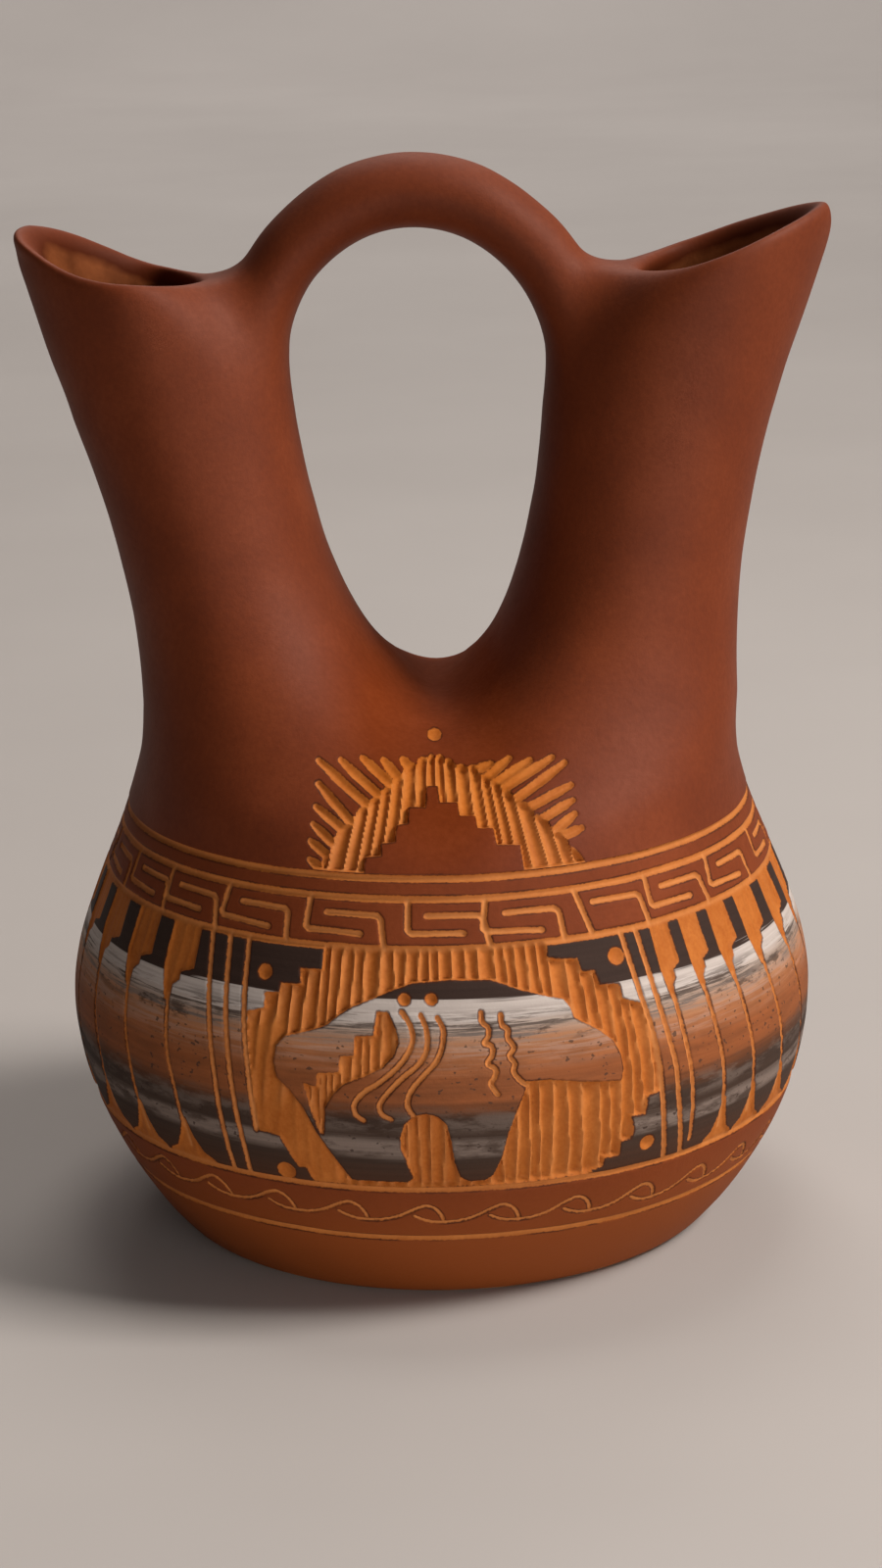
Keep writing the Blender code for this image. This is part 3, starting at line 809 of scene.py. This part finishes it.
# neck: one cage for the shoulder, the spouts and the handle, rounded by subdivision and then cut apart
neck = {
    "crotchHeight": 101.8, "saddleDrop": 7.0, "saddleDepth": 44.0, "saddleStrip": 4.6,
    "saddleSquareness": 2.6, "shoulderTurn": 0.54, "windowHalfWidth": 23.3, "windowHeight": 159.1,
    "windowTop": 184.4, "windowPull": 1.1, "windowTaper": 1.95, "spoutRootDepth": 27.0,
    "spoutNeckDepth": 19.5, "mouthDepth": 20.5, "rimInner": 36.5,
    "rimHeight": 175.6, "tipPull": 1.8, "tipPinch": 0.4, "tipCrease": 0.5, "lip": 3.5, "tipLip": 3.0,
    "rightDeck": 4.0, "handleCrown": 13.6, "handleLeg": 11.7, "handleWidth": 16.5, "seatInside": 8.5,
    "seatOutside": 20.0, "levels": 4, "angle": 50,
}
bodyColumns = 18
bodyFirst, bodyTurn = -80, 20  # degrees of the first column and between columns
spoutColumns = 12
handleColumns = 8
# levels of the cage's rings, from the seam upwards
splitLevel, stripLevel, firstSpoutLevel, deckLevel, rimLevel, handleLevel = 3, 4, 5, 8, 9, 20


def cageShare(columns):
    return (4 + 2 * math.cos(2 * math.pi / columns)) / 6


def ovalWidth(halfWidth, halfHeight, rise, power=2.0):
    share = min(1.0, abs(rise) / halfHeight)
    return halfWidth * (1 - share**power) ** (1 / power)


def windowEdge(z):
    n = neck
    rise = z - n["windowHeight"]
    if rise < 0:
        return ovalWidth(n["windowHalfWidth"], n["windowHeight"] - n["crotchHeight"], rise, n["windowTaper"])
    return ovalWidth(n["windowHalfWidth"], n["windowTop"] - n["windowHeight"], rise)


def handleEdge(z):
    n = neck
    halfHeight = n["windowTop"] + n["handleCrown"] - n["windowHeight"]
    return ovalWidth(n["windowHalfWidth"] + n["handleLeg"], halfHeight, z - n["windowHeight"])


def bodyRing(z, halfDepth, squareness):
    share = cageShare(bodyColumns)
    halfWidth = float(outlineRadius(z))
    ring = []
    for i in range(bodyColumns):
        angle = math.radians(bodyFirst + bodyTurn * i)
        c, s = math.cos(angle), math.sin(angle)
        x = halfWidth / share * math.copysign(abs(c) ** (2 / squareness), c)
        y = halfDepth / share * math.copysign(abs(s) ** (2 / squareness), s)
        ring.append((x, y, z))
    return ring


def spoutRing(inner, outer, halfDepth, innerZ, outerZ, pinch=0.0):
    share = cageShare(spoutColumns)
    centre, halfWidth = (inner + outer) / 2, (outer - inner) / 2 / share
    ring = []
    for i in range(spoutColumns):
        angle = (i - 4) * 2 * math.pi / spoutColumns
        c, s = math.cos(angle), math.sin(angle)
        narrow = 1 - pinch * ((1 + c) / 2) ** 2.5
        z = (innerZ + outerZ) / 2 + (outerZ - innerZ) / 2 * c
        ring.append([centre + halfWidth * c, halfDepth / share * s * narrow, z])
    return ring


def spoutRings():
    n, b = neck, bodyLine
    rise = n["windowHeight"] - n["crotchHeight"]
    rings = []
    for share, depth, pull in ((0.2, 0.0, 0.0), (0.55, 0.6, 0.3), (1.0, 1.0, 1.0)):
        z = n["crotchHeight"] + rise * share
        halfDepth = n["spoutRootDepth"] + (n["spoutNeckDepth"] - n["spoutRootDepth"]) * depth
        inner = windowEdge(z) + pull * n["windowPull"]
        rings.append(spoutRing(inner, float(outlineRadius(z)), halfDepth, z, z))
    deckZ = (n["windowHeight"] + n["rimHeight"]) / 2
    deckX = (n["windowHalfWidth"] + n["rimInner"]) / 2
    deckTip = (n["windowHeight"] + b["tipHeight"]) / 2
    deckDepth = (n["spoutNeckDepth"] + n["mouthDepth"]) / 2
    deckOuter = float(outlineRadius(deckTip))
    rings.append(spoutRing(deckX, deckOuter, deckDepth, deckZ, deckTip, n["tipPinch"] / 2))
    rim = spoutRing(n["rimInner"], b["tipReach"], n["mouthDepth"], n["rimHeight"], b["tipHeight"],
                    n["tipPinch"])
    rim[4][0] += n["tipPull"]
    rim[11][1] = -n["handleWidth"] / 2
    rim[9][1] = n["handleWidth"] / 2
    rings.append(rim)
    return rings


def handleSection(centre, out):
    share = cageShare(handleColumns)
    side = Vector((0, neck["handleWidth"] / 2, 0))
    ring = []
    for i in range(handleColumns):
        angle = (i - 2) * 2 * math.pi / handleColumns
        ring.append(centre + (side * math.sin(angle) - out * math.cos(angle)) / share)
    return ring


def seatLine():
    n = neck
    inside = n["windowHeight"] + n["seatInside"]
    outside = n["windowHeight"] + n["seatOutside"]
    return Vector((windowEdge(inside), 0, inside)), Vector((handleEdge(outside), 0, outside))


def handleSections():
    n = neck
    low, high = seatLine()
    low.x += n["windowPull"]
    first = handleSection((low + high) / 2, (high - low) / 2)
    sections = [first]
    swell = cageShare(360 / 25)
    across = (n["windowHalfWidth"] + n["handleLeg"] / 2) / swell
    up = (n["windowTop"] - n["windowHeight"] + n["handleCrown"] / 2) / swell
    for degrees in (50, 25, 0, -25, -50):
        turn = math.radians(degrees)
        centre = Vector((across * math.sin(turn), 0, n["windowHeight"] + up * math.cos(turn)))
        out = Vector((math.sin(turn) / across, 0, math.cos(turn) / up)).normalized()
        thick = n["handleCrown"] * math.cos(turn) ** 2 + n["handleLeg"] * math.sin(turn) ** 2
        sections.append(handleSection(centre, out * thick / 2))
    sections.append([Vector((-p.x, p.y, p.z)) for p in first])
    return sections


def ringTags(bm):
    return bm.verts.layers.int["column"], bm.verts.layers.int["level"]


def placeSelected(obj, spots, number=None, side=1):
    # puts the freshly extruded vertices in place, each by its own column, and notes their level
    bm = editMesh(obj)
    column, level = ringTags(bm)
    for vert in bm.verts:
        if vert.select:
            x, y, z = spots[vert[column]]
            vert.co = (x * side * mm, y * mm, z * mm)
            if number is not None:
                vert[level] = number
    showEdit(obj)


def makeNeckCage():
    n, b = neck, bodyLine
    deselectAll()
    bpy.ops.mesh.primitive_circle_add(vertices=bodyColumns, radius=0.06)
    obj = bpy.context.object
    obj.name = "neckCage"
    bpy.ops.object.mode_set(mode="EDIT")
    bm = editMesh(obj)
    column = bm.verts.layers.int.new("column")
    bm.verts.layers.int.new("level")
    for vert in bm.verts:
        turn = math.degrees(math.atan2(vert.co.y, vert.co.x))
        vert[column] = math.floor((turn - bodyFirst) / bodyTurn + 0.001) % bodyColumns
    showEdit(obj)
    bpy.ops.mesh.select_all(action="SELECT")

    # body rings, each extruded from the one below
    splitZ = n["crotchHeight"] - n["saddleDrop"]
    roundDepth = float(outlineRadius(b["shoulderSeam"]))
    underZ = b["shoulderSeam"] - n["saddleDrop"]
    turnZ = b["shoulderSeam"] + (splitZ - b["shoulderSeam"]) * n["shoulderTurn"]
    turnDepth = roundDepth + (n["saddleDepth"] - roundDepth) * n["shoulderTurn"] ** 1.6
    rings = [
        bodyRing(underZ, float(outlineRadius(underZ)), 2.0),
        bodyRing(b["shoulderSeam"], roundDepth, 2.0),
        bodyRing(turnZ, turnDepth, 1 + n["saddleSquareness"] / 2),
        bodyRing(splitZ, n["saddleDepth"], n["saddleSquareness"]),
    ]
    placeSelected(obj, rings[0])
    for number, ring in enumerate(rings[1:], 1):
        bpy.ops.mesh.extrude_edges_move()
        placeSelected(obj, ring, number)

    # saddle strip over the crotch, from the front edge to the back one
    levels = spoutRings()
    middle = (24 * n["crotchHeight"] - levels[0][11][2]) / 23
    flank = middle - n["saddleDrop"] / 3
    half = n["saddleDepth"] / 2
    column, level = ringTags(editMesh(obj))
    ends = {(0, splitLevel), (bodyColumns - 1, splitLevel)}
    selectEdges(obj, lambda e: {(v[column], v[level]) for v in e.verts} == ends)
    for y, z in ((-half, flank), (0.0, middle), (half, flank)):
        bpy.ops.mesh.extrude_edges_move()
        placeSelected(obj, {0: (n["saddleStrip"], y, z), 17: (-n["saddleStrip"], y, z)}, stripLevel)
    back = rings[3]
    bpy.ops.mesh.extrude_edges_move()
    placeSelected(obj, {0: back[8], 17: back[9]})
    bpy.ops.mesh.select_all(action="SELECT")
    bpy.ops.mesh.remove_doubles(threshold=0.0001)

    # each spout, extruded from its half of the ring and its side of the strip
    for side in (1, -1):
        bm = editMesh(obj)
        column, level = ringTags(bm)
        quarter = [math.atan2(p[1], p[0]) for p in rings[3][:9]]

        def onSide(vert):
            return vert.co.x * side > 0 and vert[level] >= splitLevel

        for vert in bm.verts:
            if onSide(vert):
                if vert[level] == stripLevel and abs(vert.co.y) < 0.0305 and abs(vert.co.x) < 0.0075:
                    vert[column] = {-1: 11, 0: 10, 1: 9}[int(round(vert.co.y / mm / half))]
                else:
                    angle = math.atan2(vert.co.y / mm, vert.co.x * side / mm)
                    vert[column] = min(range(9), key=lambda k: abs(quarter[k] - angle))
        showEdit(obj)
        selectEdges(obj, lambda e: e.is_boundary and all(onSide(v) for v in e.verts))
        for number, ring in enumerate(levels, firstSpoutLevel):
            bpy.ops.mesh.extrude_edges_move()
            placeSelected(obj, ring, number, side)
    bpy.ops.mesh.select_all(action="SELECT")
    bpy.ops.mesh.normals_make_consistent(inside=False)
    settleOrder(obj)
    return obj


def addInnerWall(obj):
    # wall thickness inwards, thinner and level at the lips
    outerCount = len(obj.data.vertices)
    wall = obj.modifiers.new("wall", "SOLIDIFY")
    wall.thickness = bodyLine["wall"] * mm
    wall.offset = -1.0
    pickOnly(obj)
    normals = [v.normal.copy() for v in obj.data.vertices]
    spots = [v.co.copy() for v in obj.data.vertices]
    levels = [a.value for a in obj.data.attributes["level"].data]
    columns = [a.value for a in obj.data.attributes["column"].data]
    # the lip is thicker at the tips, and the right mouth starts further from the handle
    thicker = {4: neck["tipLip"], 3: 0.25 * neck["tipLip"], 5: 0.25 * neck["tipLip"]}
    deck = {10: 1.0, 9: 0.8, 11: 0.8, 8: 0.4, 0: 0.4}
    # how far each ring lies inside the mouth, in mm; the outside is well clear of it
    outsideDepth, throatDepth, mouthDepths = -6.0, 26.0, {rimLevel: 1.0, deckLevel: 10.0}
    bpy.ops.object.modifier_apply(modifier="wall")
    depthIn = []
    for i, vert in enumerate(obj.data.vertices):
        source = i % outerCount
        vert.co = spots[source]
        if i < outerCount:
            depthIn.append(outsideDepth)
            continue
        level, column, out = levels[source], columns[source], normals[source]
        depthIn.append(mouthDepths.get(level, throatDepth))
        if level == rimLevel:
            vert.co -= Vector((out.x, out.y, 0)).normalized() * (neck["lip"] + thicker.get(column, 0)) * mm
        else:
            vert.co -= out * bodyLine["wall"] * mm
        if level in (deckLevel, rimLevel) and vert.co.x > 0:
            share = deck.get(column, 0) * (1.0 if level == rimLevel else 0.5)
            vert.co.x += neck["rightDeck"] * share * mm
    writeAttribute(obj, "depthIn", depthIn)
    return outerCount


def addHandle(obj, outerCount):
    # a two by two patch is opened on each spout, and the handle is drawn from the right one to the left
    bpy.ops.object.mode_set(mode="EDIT")
    bm = editMesh(obj)
    spot = bm.verts.layers.int.new("handleColumn")
    column, level = ringTags(bm)
    hubs = [v for v in bm.verts if v.index < outerCount and v[level] == deckLevel and v[column] == 10]
    order = {(8, 11): 0, (7, 11): 1, (7, 10): 2, (7, 9): 3, (8, 9): 4, (9, 9): 5, (9, 10): 6, (9, 11): 7}
    for vert in bm.verts:
        vert[spot] = -1
    for hub in hubs:
        for face in hub.link_faces:
            for vert in face.verts:
                if vert != hub:
                    vert[spot] = order[(vert[level], vert[column])]
    selectVerts(obj, hubs)
    bpy.ops.mesh.delete(type="VERT")
    spot = editMesh(obj).verts.layers.int["handleColumn"]
    selectEdges(obj, lambda e: e.is_boundary and all(v[spot] >= 0 and v.co.x > 0 for v in e.verts))
    for section in handleSections():
        bpy.ops.mesh.extrude_edges_move()
        bm = editMesh(obj)
        spot = bm.verts.layers.int["handleColumn"]
        level = ringTags(bm)[1]
        for vert in bm.verts:
            if vert.select:
                vert.co = section[vert[spot]] * mm
                vert[level] = handleLevel
        showEdit(obj)
    selectEdges(obj, lambda e: e.is_boundary)
    bpy.ops.mesh.bridge_edge_loops()
    # the lip is drawn to a soft point outside
    bm = editMesh(obj)
    bm.verts.index_update()
    column, level = ringTags(bm)
    crease = bm.edges.layers.float.get("crease_edge") or bm.edges.layers.float.new("crease_edge")
    for edge in bm.edges:
        ends = sorted((v[level], v[column]) for v in edge.verts)
        if ends in ([(7, 4), (8, 4)], [(8, 4), (9, 4)]) and edge.verts[0].index < outerCount:
            edge[crease] = neck["tipCrease"]
    showEdit(obj)
    bpy.ops.mesh.select_all(action="SELECT")
    bpy.ops.mesh.normals_make_consistent(inside=False)
    settleOrder(obj)


# the vase leans a little: the window and the handle stand left of centre, the waist right of it
lean = {
    "heights": [80.8, 90, 99, 112, 125, 150, 200], "wholeShift": [0, 0.4, 0.6, 0.1, -0.5, -0.9, -0.9],
    "windowHeights": [95, 102, 110, 135, 152, 166, 200],
    "windowShift": [0, -0.5, -0.7, -0.7, -1.25, -1.4, -1.3],
    "rightTipOut": 1.2, "rightTipUp": 1.6, "rightFrontTilt": -0.012, "rightBackTilt": 0.03,
    "crotchDip": 0.4, "crotchFlank": 0.5, "rightDeckRise": 1.0, "crownRise": 0.35, "leftPoint": 1.0,
    "backRimAcross": [-74, -68, -63, -57, -51, -46, -41, -37, -32],
    "backRimDrop": [-0.5, -0.7, 0.2, 1.7, 2.5, 1.8, 0.4, -0.4, 0],
    "frontRimAcross": [-73, -67.5, -62.5, -57, -54, -48, -42, -37, -32],
    "frontRimDrop": [0, 2.5, 3.5, 3.1, 2.4, 1.0, 0, -0.4, 0],
    "spoutHeights": [88, 100, 116, 134, 152, 163, 176], "leftOuter": [0, 0, 0.1, -0.2, -0.85, -0.5, 0],
    "leftInner": [0, 0, 0.35, 0.7, 1.0, 0.8, 0], "rightOuter": [0, 0.75, 0.9, 0.9, 0.9, 0.5, 0],
    "rightInner": [0, 0, 0, -0.5, -0.4, 0, 0],
    "burnishLeast": 0.06, "burnishHeight": 102,
}


def leanShift(x, z):
    shift = np.interp(z, lean["heights"], lean["wholeShift"])
    return shift + np.interp(z, lean["windowHeights"], lean["windowShift"]) * smoothStep(58, 38, np.abs(x))


def subdivideCage(obj):
    smooth = obj.modifiers.new("round", "SUBSURF")
    smooth.levels = neck["levels"]
    smooth.render_levels = neck["levels"]
    pickOnly(obj)
    bpy.ops.object.modifier_apply(modifier="round")
    points = readPoints(obj)
    x, y, z = points.T.copy()
    points[:, 0] += leanShift(x, z)
    # the crotch is a little lower along its middle and fuller beside it
    crotch = smoothStep(-16, 4, y) * smoothStep(46, 40, y) * smoothStep(114, 106, z)
    points[:, 2] -= lean["crotchDip"] * np.exp(-((x / 4.0) ** 2)) * crotch
    points[:, 2] += lean["crotchFlank"] * np.exp(-(((np.abs(x) - 7.2) / 3.0) ** 2)) * crotch
    # the lips and the handle's crown, as they were thrown
    behind = smoothStep(-5, 5, y)
    drop = 0
    reaches = (-3, -1.5, 0, 1.5, 3)
    for reach in reaches:
        for rim, share in (("backRim", behind), ("frontRim", 1 - behind)):
            across, fall = lean[rim + "Across"], lean[rim + "Drop"]
            drop = drop + np.interp(x + reach, across, fall) * share / len(reaches)
    points[:, 2] -= drop * smoothStep(152, 172, z)
    points[:, 2] += lean["rightDeckRise"] * np.exp(-(((x - 39) / 8) ** 2)) * smoothStep(158, 172, z)
    points[:, 2] += lean["crownRise"] * smoothStep(24, 12, np.abs(x)) * smoothStep(184, 192, z)
    # each spout is a little fuller on its outer or its inner side
    outward = smoothStep(28, 50, np.abs(x))
    for side, here in (("left", x < 0), ("right", x > 0)):
        outer = np.interp(z, lean["spoutHeights"], lean[side + "Outer"])
        inner = np.interp(z, lean["spoutHeights"], lean[side + "Inner"])
        swell = outer * outward + inner * (1 - outward)
        points[:, 0] += np.where(here, swell, 0) * smoothStep(4, 12, np.abs(x))
    # the right spout is drawn a little further out and up, and its lips tilt front and back
    tip = smoothStep(40, 72, x) * smoothStep(140, 185, z)
    points[:, 0] += lean["rightTipOut"] * tip
    tilt = np.where(y < 0, lean["rightFrontTilt"], lean["rightBackTilt"])
    points[:, 2] += lean["rightTipUp"] * tip - tilt * y * smoothStep(34, 46, x) * smoothStep(145, 175, z)
    # the left tip is drawn out to a point
    points[:, 0] -= lean["leftPoint"] * smoothStep(181.5, 186.5, z) * smoothStep(-60, -70, x)
    writePoints(obj, points)
    # the burnishing stone doesn't reach into the crotch
    reached = smoothStep(0.5, 1.3, np.hypot(x / 20, (z - lean["burnishHeight"]) / 24))
    writeAttribute(obj, "burnish", lean["burnishLeast"] + (1 - lean["burnishLeast"]) * reached)


# sunburst on the shoulder's front, drawn square to the viewer's line as (across, up) in mm from the top ring
sunburst = {
    "viewAngle": 16.4, "centre": -0.2, "base": 80.4, "rayWidth": 1.8, "rayDepth": 0.5,
    "fan": 0.014, "drift": 0.4, "dot": (-0.1, 25.2), "dotRadius": 1.25, "dotDepth": 0.5,
}
sunCore = [
    (-12.8, 0.4), (-12.5, 3.5), (-9.8, 3.7), (-9.8, 5.9), (-7.3, 6.1), (-7.1, 9), (-5.1, 9.3), (-4.9, 12.2),
    (-2, 12), (-1.7, 15.8), (0.2, 15.8), (0.5, 12.9), (3.6, 12.9), (3.9, 10.5), (6.6, 10.5), (7, 8.3),
    (9.7, 8.3), (10.2, 5.4), (14.3, 5.3), (15, 0.4),
]
sunArch = [
    (-20.9, 0.4), (-20, 3.9), (-17, 8.2), (-13.6, 11.9), (-10.2, 14.6), (-7.1, 17.3), (-4.6, 19.9),
    (-2.5, 21.1), (-0.8, 21.6), (1.2, 21.6), (3.9, 19.7), (6.5, 19.6), (7.5, 18.4), (10.7, 16.5),
    (13.6, 13.8), (16.7, 11.9), (19.5, 8.9), (22.9, 6.1), (25.5, 2.1), (25.7, 0.4),
]
# each ray: its tip and its root
sunRays = [
    (-20.6, 20.7, -11.6, 12.1), (-16.7, 20.7, -9.9, 14.1), (-12.9, 21.1, -8, 16.2),
    (-9.2, 20.6, -6.5, 17.2), (-5.8, 20.7, -4.6, 19.2), (-20.7, 16.7, -14.8, 9.4),
    (-21.1, 12.6, -16.2, 8.2), (-21.6, 9.5, -17.5, 5.4), (-22.1, 6.6, -19.6, 4.4), (-22.3, 3.4, -20.6, 2.0),
    (12.9, 20.6, 8.5, 16.8), (16.5, 20.2, 10.5, 16.2), (20.4, 20.6, 11.9, 15.3), (22.6, 19.6, 13.9, 13.3),
    (23.6, 15.6, 16.3, 11.9), (23.8, 12.9, 18.7, 9.9), (24.1, 10.5, 20.7, 7.7), (25.2, 8, 22.1, 6.8),
    (9.7, 19.7, 6.8, 18.4),
]


def carveShoulder(obj):
    # finer faces where the sunburst goes
    pickOnly(obj)
    bpy.ops.object.mode_set(mode="EDIT")
    bm = clearSelection(obj)
    for face in bm.faces:
        c = face.calc_center_median() / mm
        facing = face.normal.y * -0.8 + face.normal.z * 0.6 > 0.2
        if abs(c.x) < 29 and c.y < -30 and c.z < 106 and facing:
            face.select_set(True)
    showEdit(obj)
    bpy.ops.mesh.subdivide(number_cuts=3, smoothness=0.0)
    bpy.ops.object.mode_set(mode="OBJECT")
    points = readPoints(obj)
    tilt = math.radians(sunburst["viewAngle"])
    ringY = -float(outlineRadius(bodyLine["shoulderSeam"]))
    across = points[:, 0] - sunburst["centre"]
    up = (points[:, 2] - sunburst["base"]) * math.cos(tilt) + (points[:, 1] - ringY) * math.sin(tilt)
    normals = np.empty(len(points) * 3)
    obj.data.vertices.foreach_get("normal", normals)
    normals = normals.reshape(-1, 3)
    facing = normals[:, 2] * 0.3 - normals[:, 1] > 0.2
    front = np.nonzero((points[:, 1] < -20) & (points[:, 2] < 104) & facing)[0]
    flat = np.stack([across[front], up[front]], 1)
    core = pathDistance(flat, sunCore + [sunCore[0]])
    core = np.where(insideOutline(flat[:, 0], flat[:, 1], sunCore), -core, core)
    narrow = 1 - sunburst["fan"] * flat[:, 1]
    fan = flat[:, 0] / narrow
    phase = (fan + sunburst["drift"] * np.sin(fan * 0.5)) / ornament["gougeWidth"]
    scallop = scallopAt(phase)
    # every flute has a rounded top of its own under the arch
    middle = (np.floor(phase) + 0.5) * ornament["gougeWidth"]
    middle -= sunburst["drift"] * np.sin(middle * 0.5)
    archX, archUp = np.array(sunArch).T
    top = np.interp((0.6 * middle + 0.4 * fan) * narrow, archX, archUp)
    beside = np.abs(flat[:, 0] - archX.mean()) - np.ptp(archX) / 2
    arch = np.maximum(flat[:, 1] - top + 0.9 * (1 - np.sqrt(scallop)), beside)
    arch = np.maximum(0.8 * arch, archUp[0] - flat[:, 1])
    distance = np.maximum(arch, -core)
    wall = smoothStep(0, ornament["wallRun"], -distance)
    depth = wall * (ornament["fieldDepth"] + ornament["gougeDepth"] * scallop)
    # painted highlight on the ridges between the flutes
    paintedHighlight = ornament["highlightShare"] * wall * (1 - scallop)
    # rays, narrower at their tips
    for x1, y1, x2, y2 in sunRays:
        tip, root = np.array((x1, y1)), np.array((x2, y2))
        run = root - tip
        t = np.clip((flat - tip) @ run / (run @ run), 0, 1)
        away = np.sqrt(((flat - tip - t[:, None] * run) ** 2).sum(1))
        half = sunburst["rayWidth"] / 2 * (0.65 + 0.35 * np.clip(t * 3, 0, 1))
        ray = away - half
        distance = np.minimum(distance, ray)
        depth = np.maximum(depth, sunburst["rayDepth"] * np.clip(-ray / half, 0, 1) ** 0.7)
    dotAcross, dotUp = sunburst["dot"]
    dot = np.hypot(flat[:, 0] - dotAcross, flat[:, 1] - dotUp) - sunburst["dotRadius"]
    distance = np.minimum(distance, dot)
    depth = np.maximum(depth, sunburst["dotDepth"] * bowl(dot, sunburst["dotRadius"]))
    # nothing is cut across the seam
    points[front] -= normals[front] * (depth * smoothStep(80.8, 81.4, points[front, 2]))[:, None]
    writePoints(obj, points)
    writeCarving(obj, front, distance, paintedHighlight)


def cutOut(source, name, planes):
    # copies the neck and keeps the part behind every plane
    pickOnly(source)
    bpy.ops.object.duplicate()
    obj = bpy.context.object
    obj.name = name
    obj.data.name = name
    bpy.ops.object.mode_set(mode="EDIT")
    for place, direction in planes:
        bpy.ops.mesh.select_all(action="SELECT")
        bpy.ops.mesh.bisect(plane_co=Vector(place) * mm, plane_no=direction, use_fill=True, clear_outer=True,
                            threshold=0.000001)
    bpy.ops.object.mode_set(mode="OBJECT")
    return obj


neckCage = makeNeckCage()
addHandle(neckCage, addInnerWall(neckCage))
subdivideCage(neckCage)
print("neck rounded,", len(neckCage.data.vertices), "points")

low, high = seatLine()
seatSlope = high - low
shiftLow = float(leanShift(low.x, low.z))
seatRight = (low.x + shiftLow, 0, low.z)
seatLeft = (-low.x + shiftLow, 0, low.z)
# the directions point into the handle from the spouts
intoHandleRight = Vector((-seatSlope.z, 0, seatSlope.x)).normalized()
intoHandleLeft = Vector((seatSlope.z, 0, seatSlope.x)).normalized()
seamHeight, spoutHeight = (0, 0, bodyLine["shoulderSeam"]), (0, 0, bodyLine["spoutSeam"])
middleSpot = (0, 0, 0)
spoutFloor = (spoutHeight, (0, 0, -1))
leftPlanes = [spoutFloor, (middleSpot, (1, 0, 0)), (seatLeft, intoHandleLeft)]
rightPlanes = [spoutFloor, (middleSpot, (-1, 0, 0)), (seatRight, intoHandleRight)]
handlePlanes = [(seatRight, -intoHandleRight), (seatLeft, -intoHandleLeft)]
shoulderPlanes = [(seamHeight, (0, 0, -1)), (spoutHeight, (0, 0, 1))]
pieces = {
    "saddleShoulder": ("saddle_shoulder", "shoulder_slip", shoulderPlanes),
    "leftSpout": ("left_spout", "left_slip", leftPlanes),
    "rightSpout": ("right_spout", "right_slip", rightPlanes),
    "bridgeHandle": ("bridge_handle", "handle_slip", handlePlanes),
}
neckSlip = makeRedSlip()
for name, (node, slotName, planes) in pieces.items():
    piece = cutOut(neckCage, name, planes)
    if name == "saddleShoulder":
        carveShoulder(piece)
    else:
        writeCarving(piece)
    writePoints(piece, handWander(readPoints(piece)))
    finishPiece(piece, node, neckSlip, neck["angle"])
    print(name, "cut,", len(piece.data.vertices), "points")
bpy.data.objects.remove(neckCage, do_unlink=True)


# room: a pale floor that sweeps up into a round wall
room = {"floor": (165, 159, 156), "radius": 3.0, "bend": 0.7, "height": 2.2, "steps": 96}


def makeRoom():
    reach, bend = room["radius"] / mm, room["bend"] / mm
    corner = arcPoints((reach - bend, bend), bend, -90, 0, 17)
    profile = [(0, 0), (reach / 3, 0)] + corner + [(reach, room["height"] / mm)]
    obj = spinProfile("floorSweep", profile, 0.0, fullTurn, room["steps"], False)
    finish = Finish("paleRoom", 0.85)
    tints = [(0.3, [c - 4 for c in room["floor"]]), (0.7, [c + 3 for c in room["floor"]])]
    finish.drive("Base Color", finish.ramp(finish.noise(3.0), tints))
    obj.data.materials.append(finish.material)
    bpy.ops.object.shade_smooth()


makeRoom()

lights = {
    "key": {"place": (1.0, -0.25, 1.05), "aim": (0, 0, 0.1), "size": (0.5, 0.5), "power": 26.0,
            "spread": 180, "colour": (1.0, 0.95, 0.89)},
    "bounce": {"place": (0.17, -0.44, 0.06), "aim": (0, -0.02, 0.045), "size": (0.36, 0.1), "power": 0.23,
               "spread": 75, "colour": (1.0, 0.96, 0.91)},
    "top": {"place": (0.05, 0.4, 1.4), "aim": (0, 0.02, 0.1), "size": (0.5, 0.5), "power": 5.0,
            "spread": 180, "colour": (1.0, 0.95, 0.89)},
    "wash": {"place": (0.0, 2.1, 1.9), "aim": (0, 2.6, 0.1), "size": (1.4, 1.4), "power": 34.0,
             "spread": 180, "colour": (1.0, 0.97, 0.93)},
}


def addLight(name, light):
    lamp = bpy.data.lights.new(name, "AREA")
    lamp.shape = "RECTANGLE"
    lamp.size, lamp.size_y = light["size"]
    lamp.spread = math.radians(light["spread"])
    lamp.energy = light["power"]
    lamp.color = light["colour"]
    obj = bpy.data.objects.new(name, lamp)
    bpy.context.scene.collection.objects.link(obj)
    obj.location = light["place"]
    aim = Vector(light["aim"]) - obj.location
    obj.rotation_euler = aim.to_track_quat("-Z", "Y").to_euler()


for lightName, light in lights.items():
    addLight(lightName, light)
world = bpy.data.worlds.new("softRoom")
world.use_nodes = True
background = world.node_tree.nodes["Background"]
background.inputs["Color"].default_value = (1.0, 0.97, 0.94, 1.0)
background.inputs["Strength"].default_value = 0.12
bpy.context.scene.world = world

# camera at the photo's angle
view = {"place": (0.00065, -0.670, 0.2711), "pitch": 15.86, "roll": -1.31, "lens": 85.5, "sensor": 36.0}
cameraData = bpy.data.cameras.new("viewer")
cameraData.sensor_fit = "VERTICAL"
cameraData.sensor_height = view["sensor"]
cameraData.lens = view["lens"]
cameraData.clip_start = 0.01
camera = bpy.data.objects.new("viewer", cameraData)
bpy.context.scene.collection.objects.link(camera)
turn = Matrix.Rotation(math.radians(90 - view["pitch"]), 3, "X")
turn = turn @ Matrix.Rotation(math.radians(view["roll"]), 3, "Z")
camera.rotation_euler = turn.to_euler()
camera.location = view["place"]
bpy.context.scene.camera = camera
bpy.context.scene.view_settings.view_transform = "Standard"
print("room, lights and camera set")
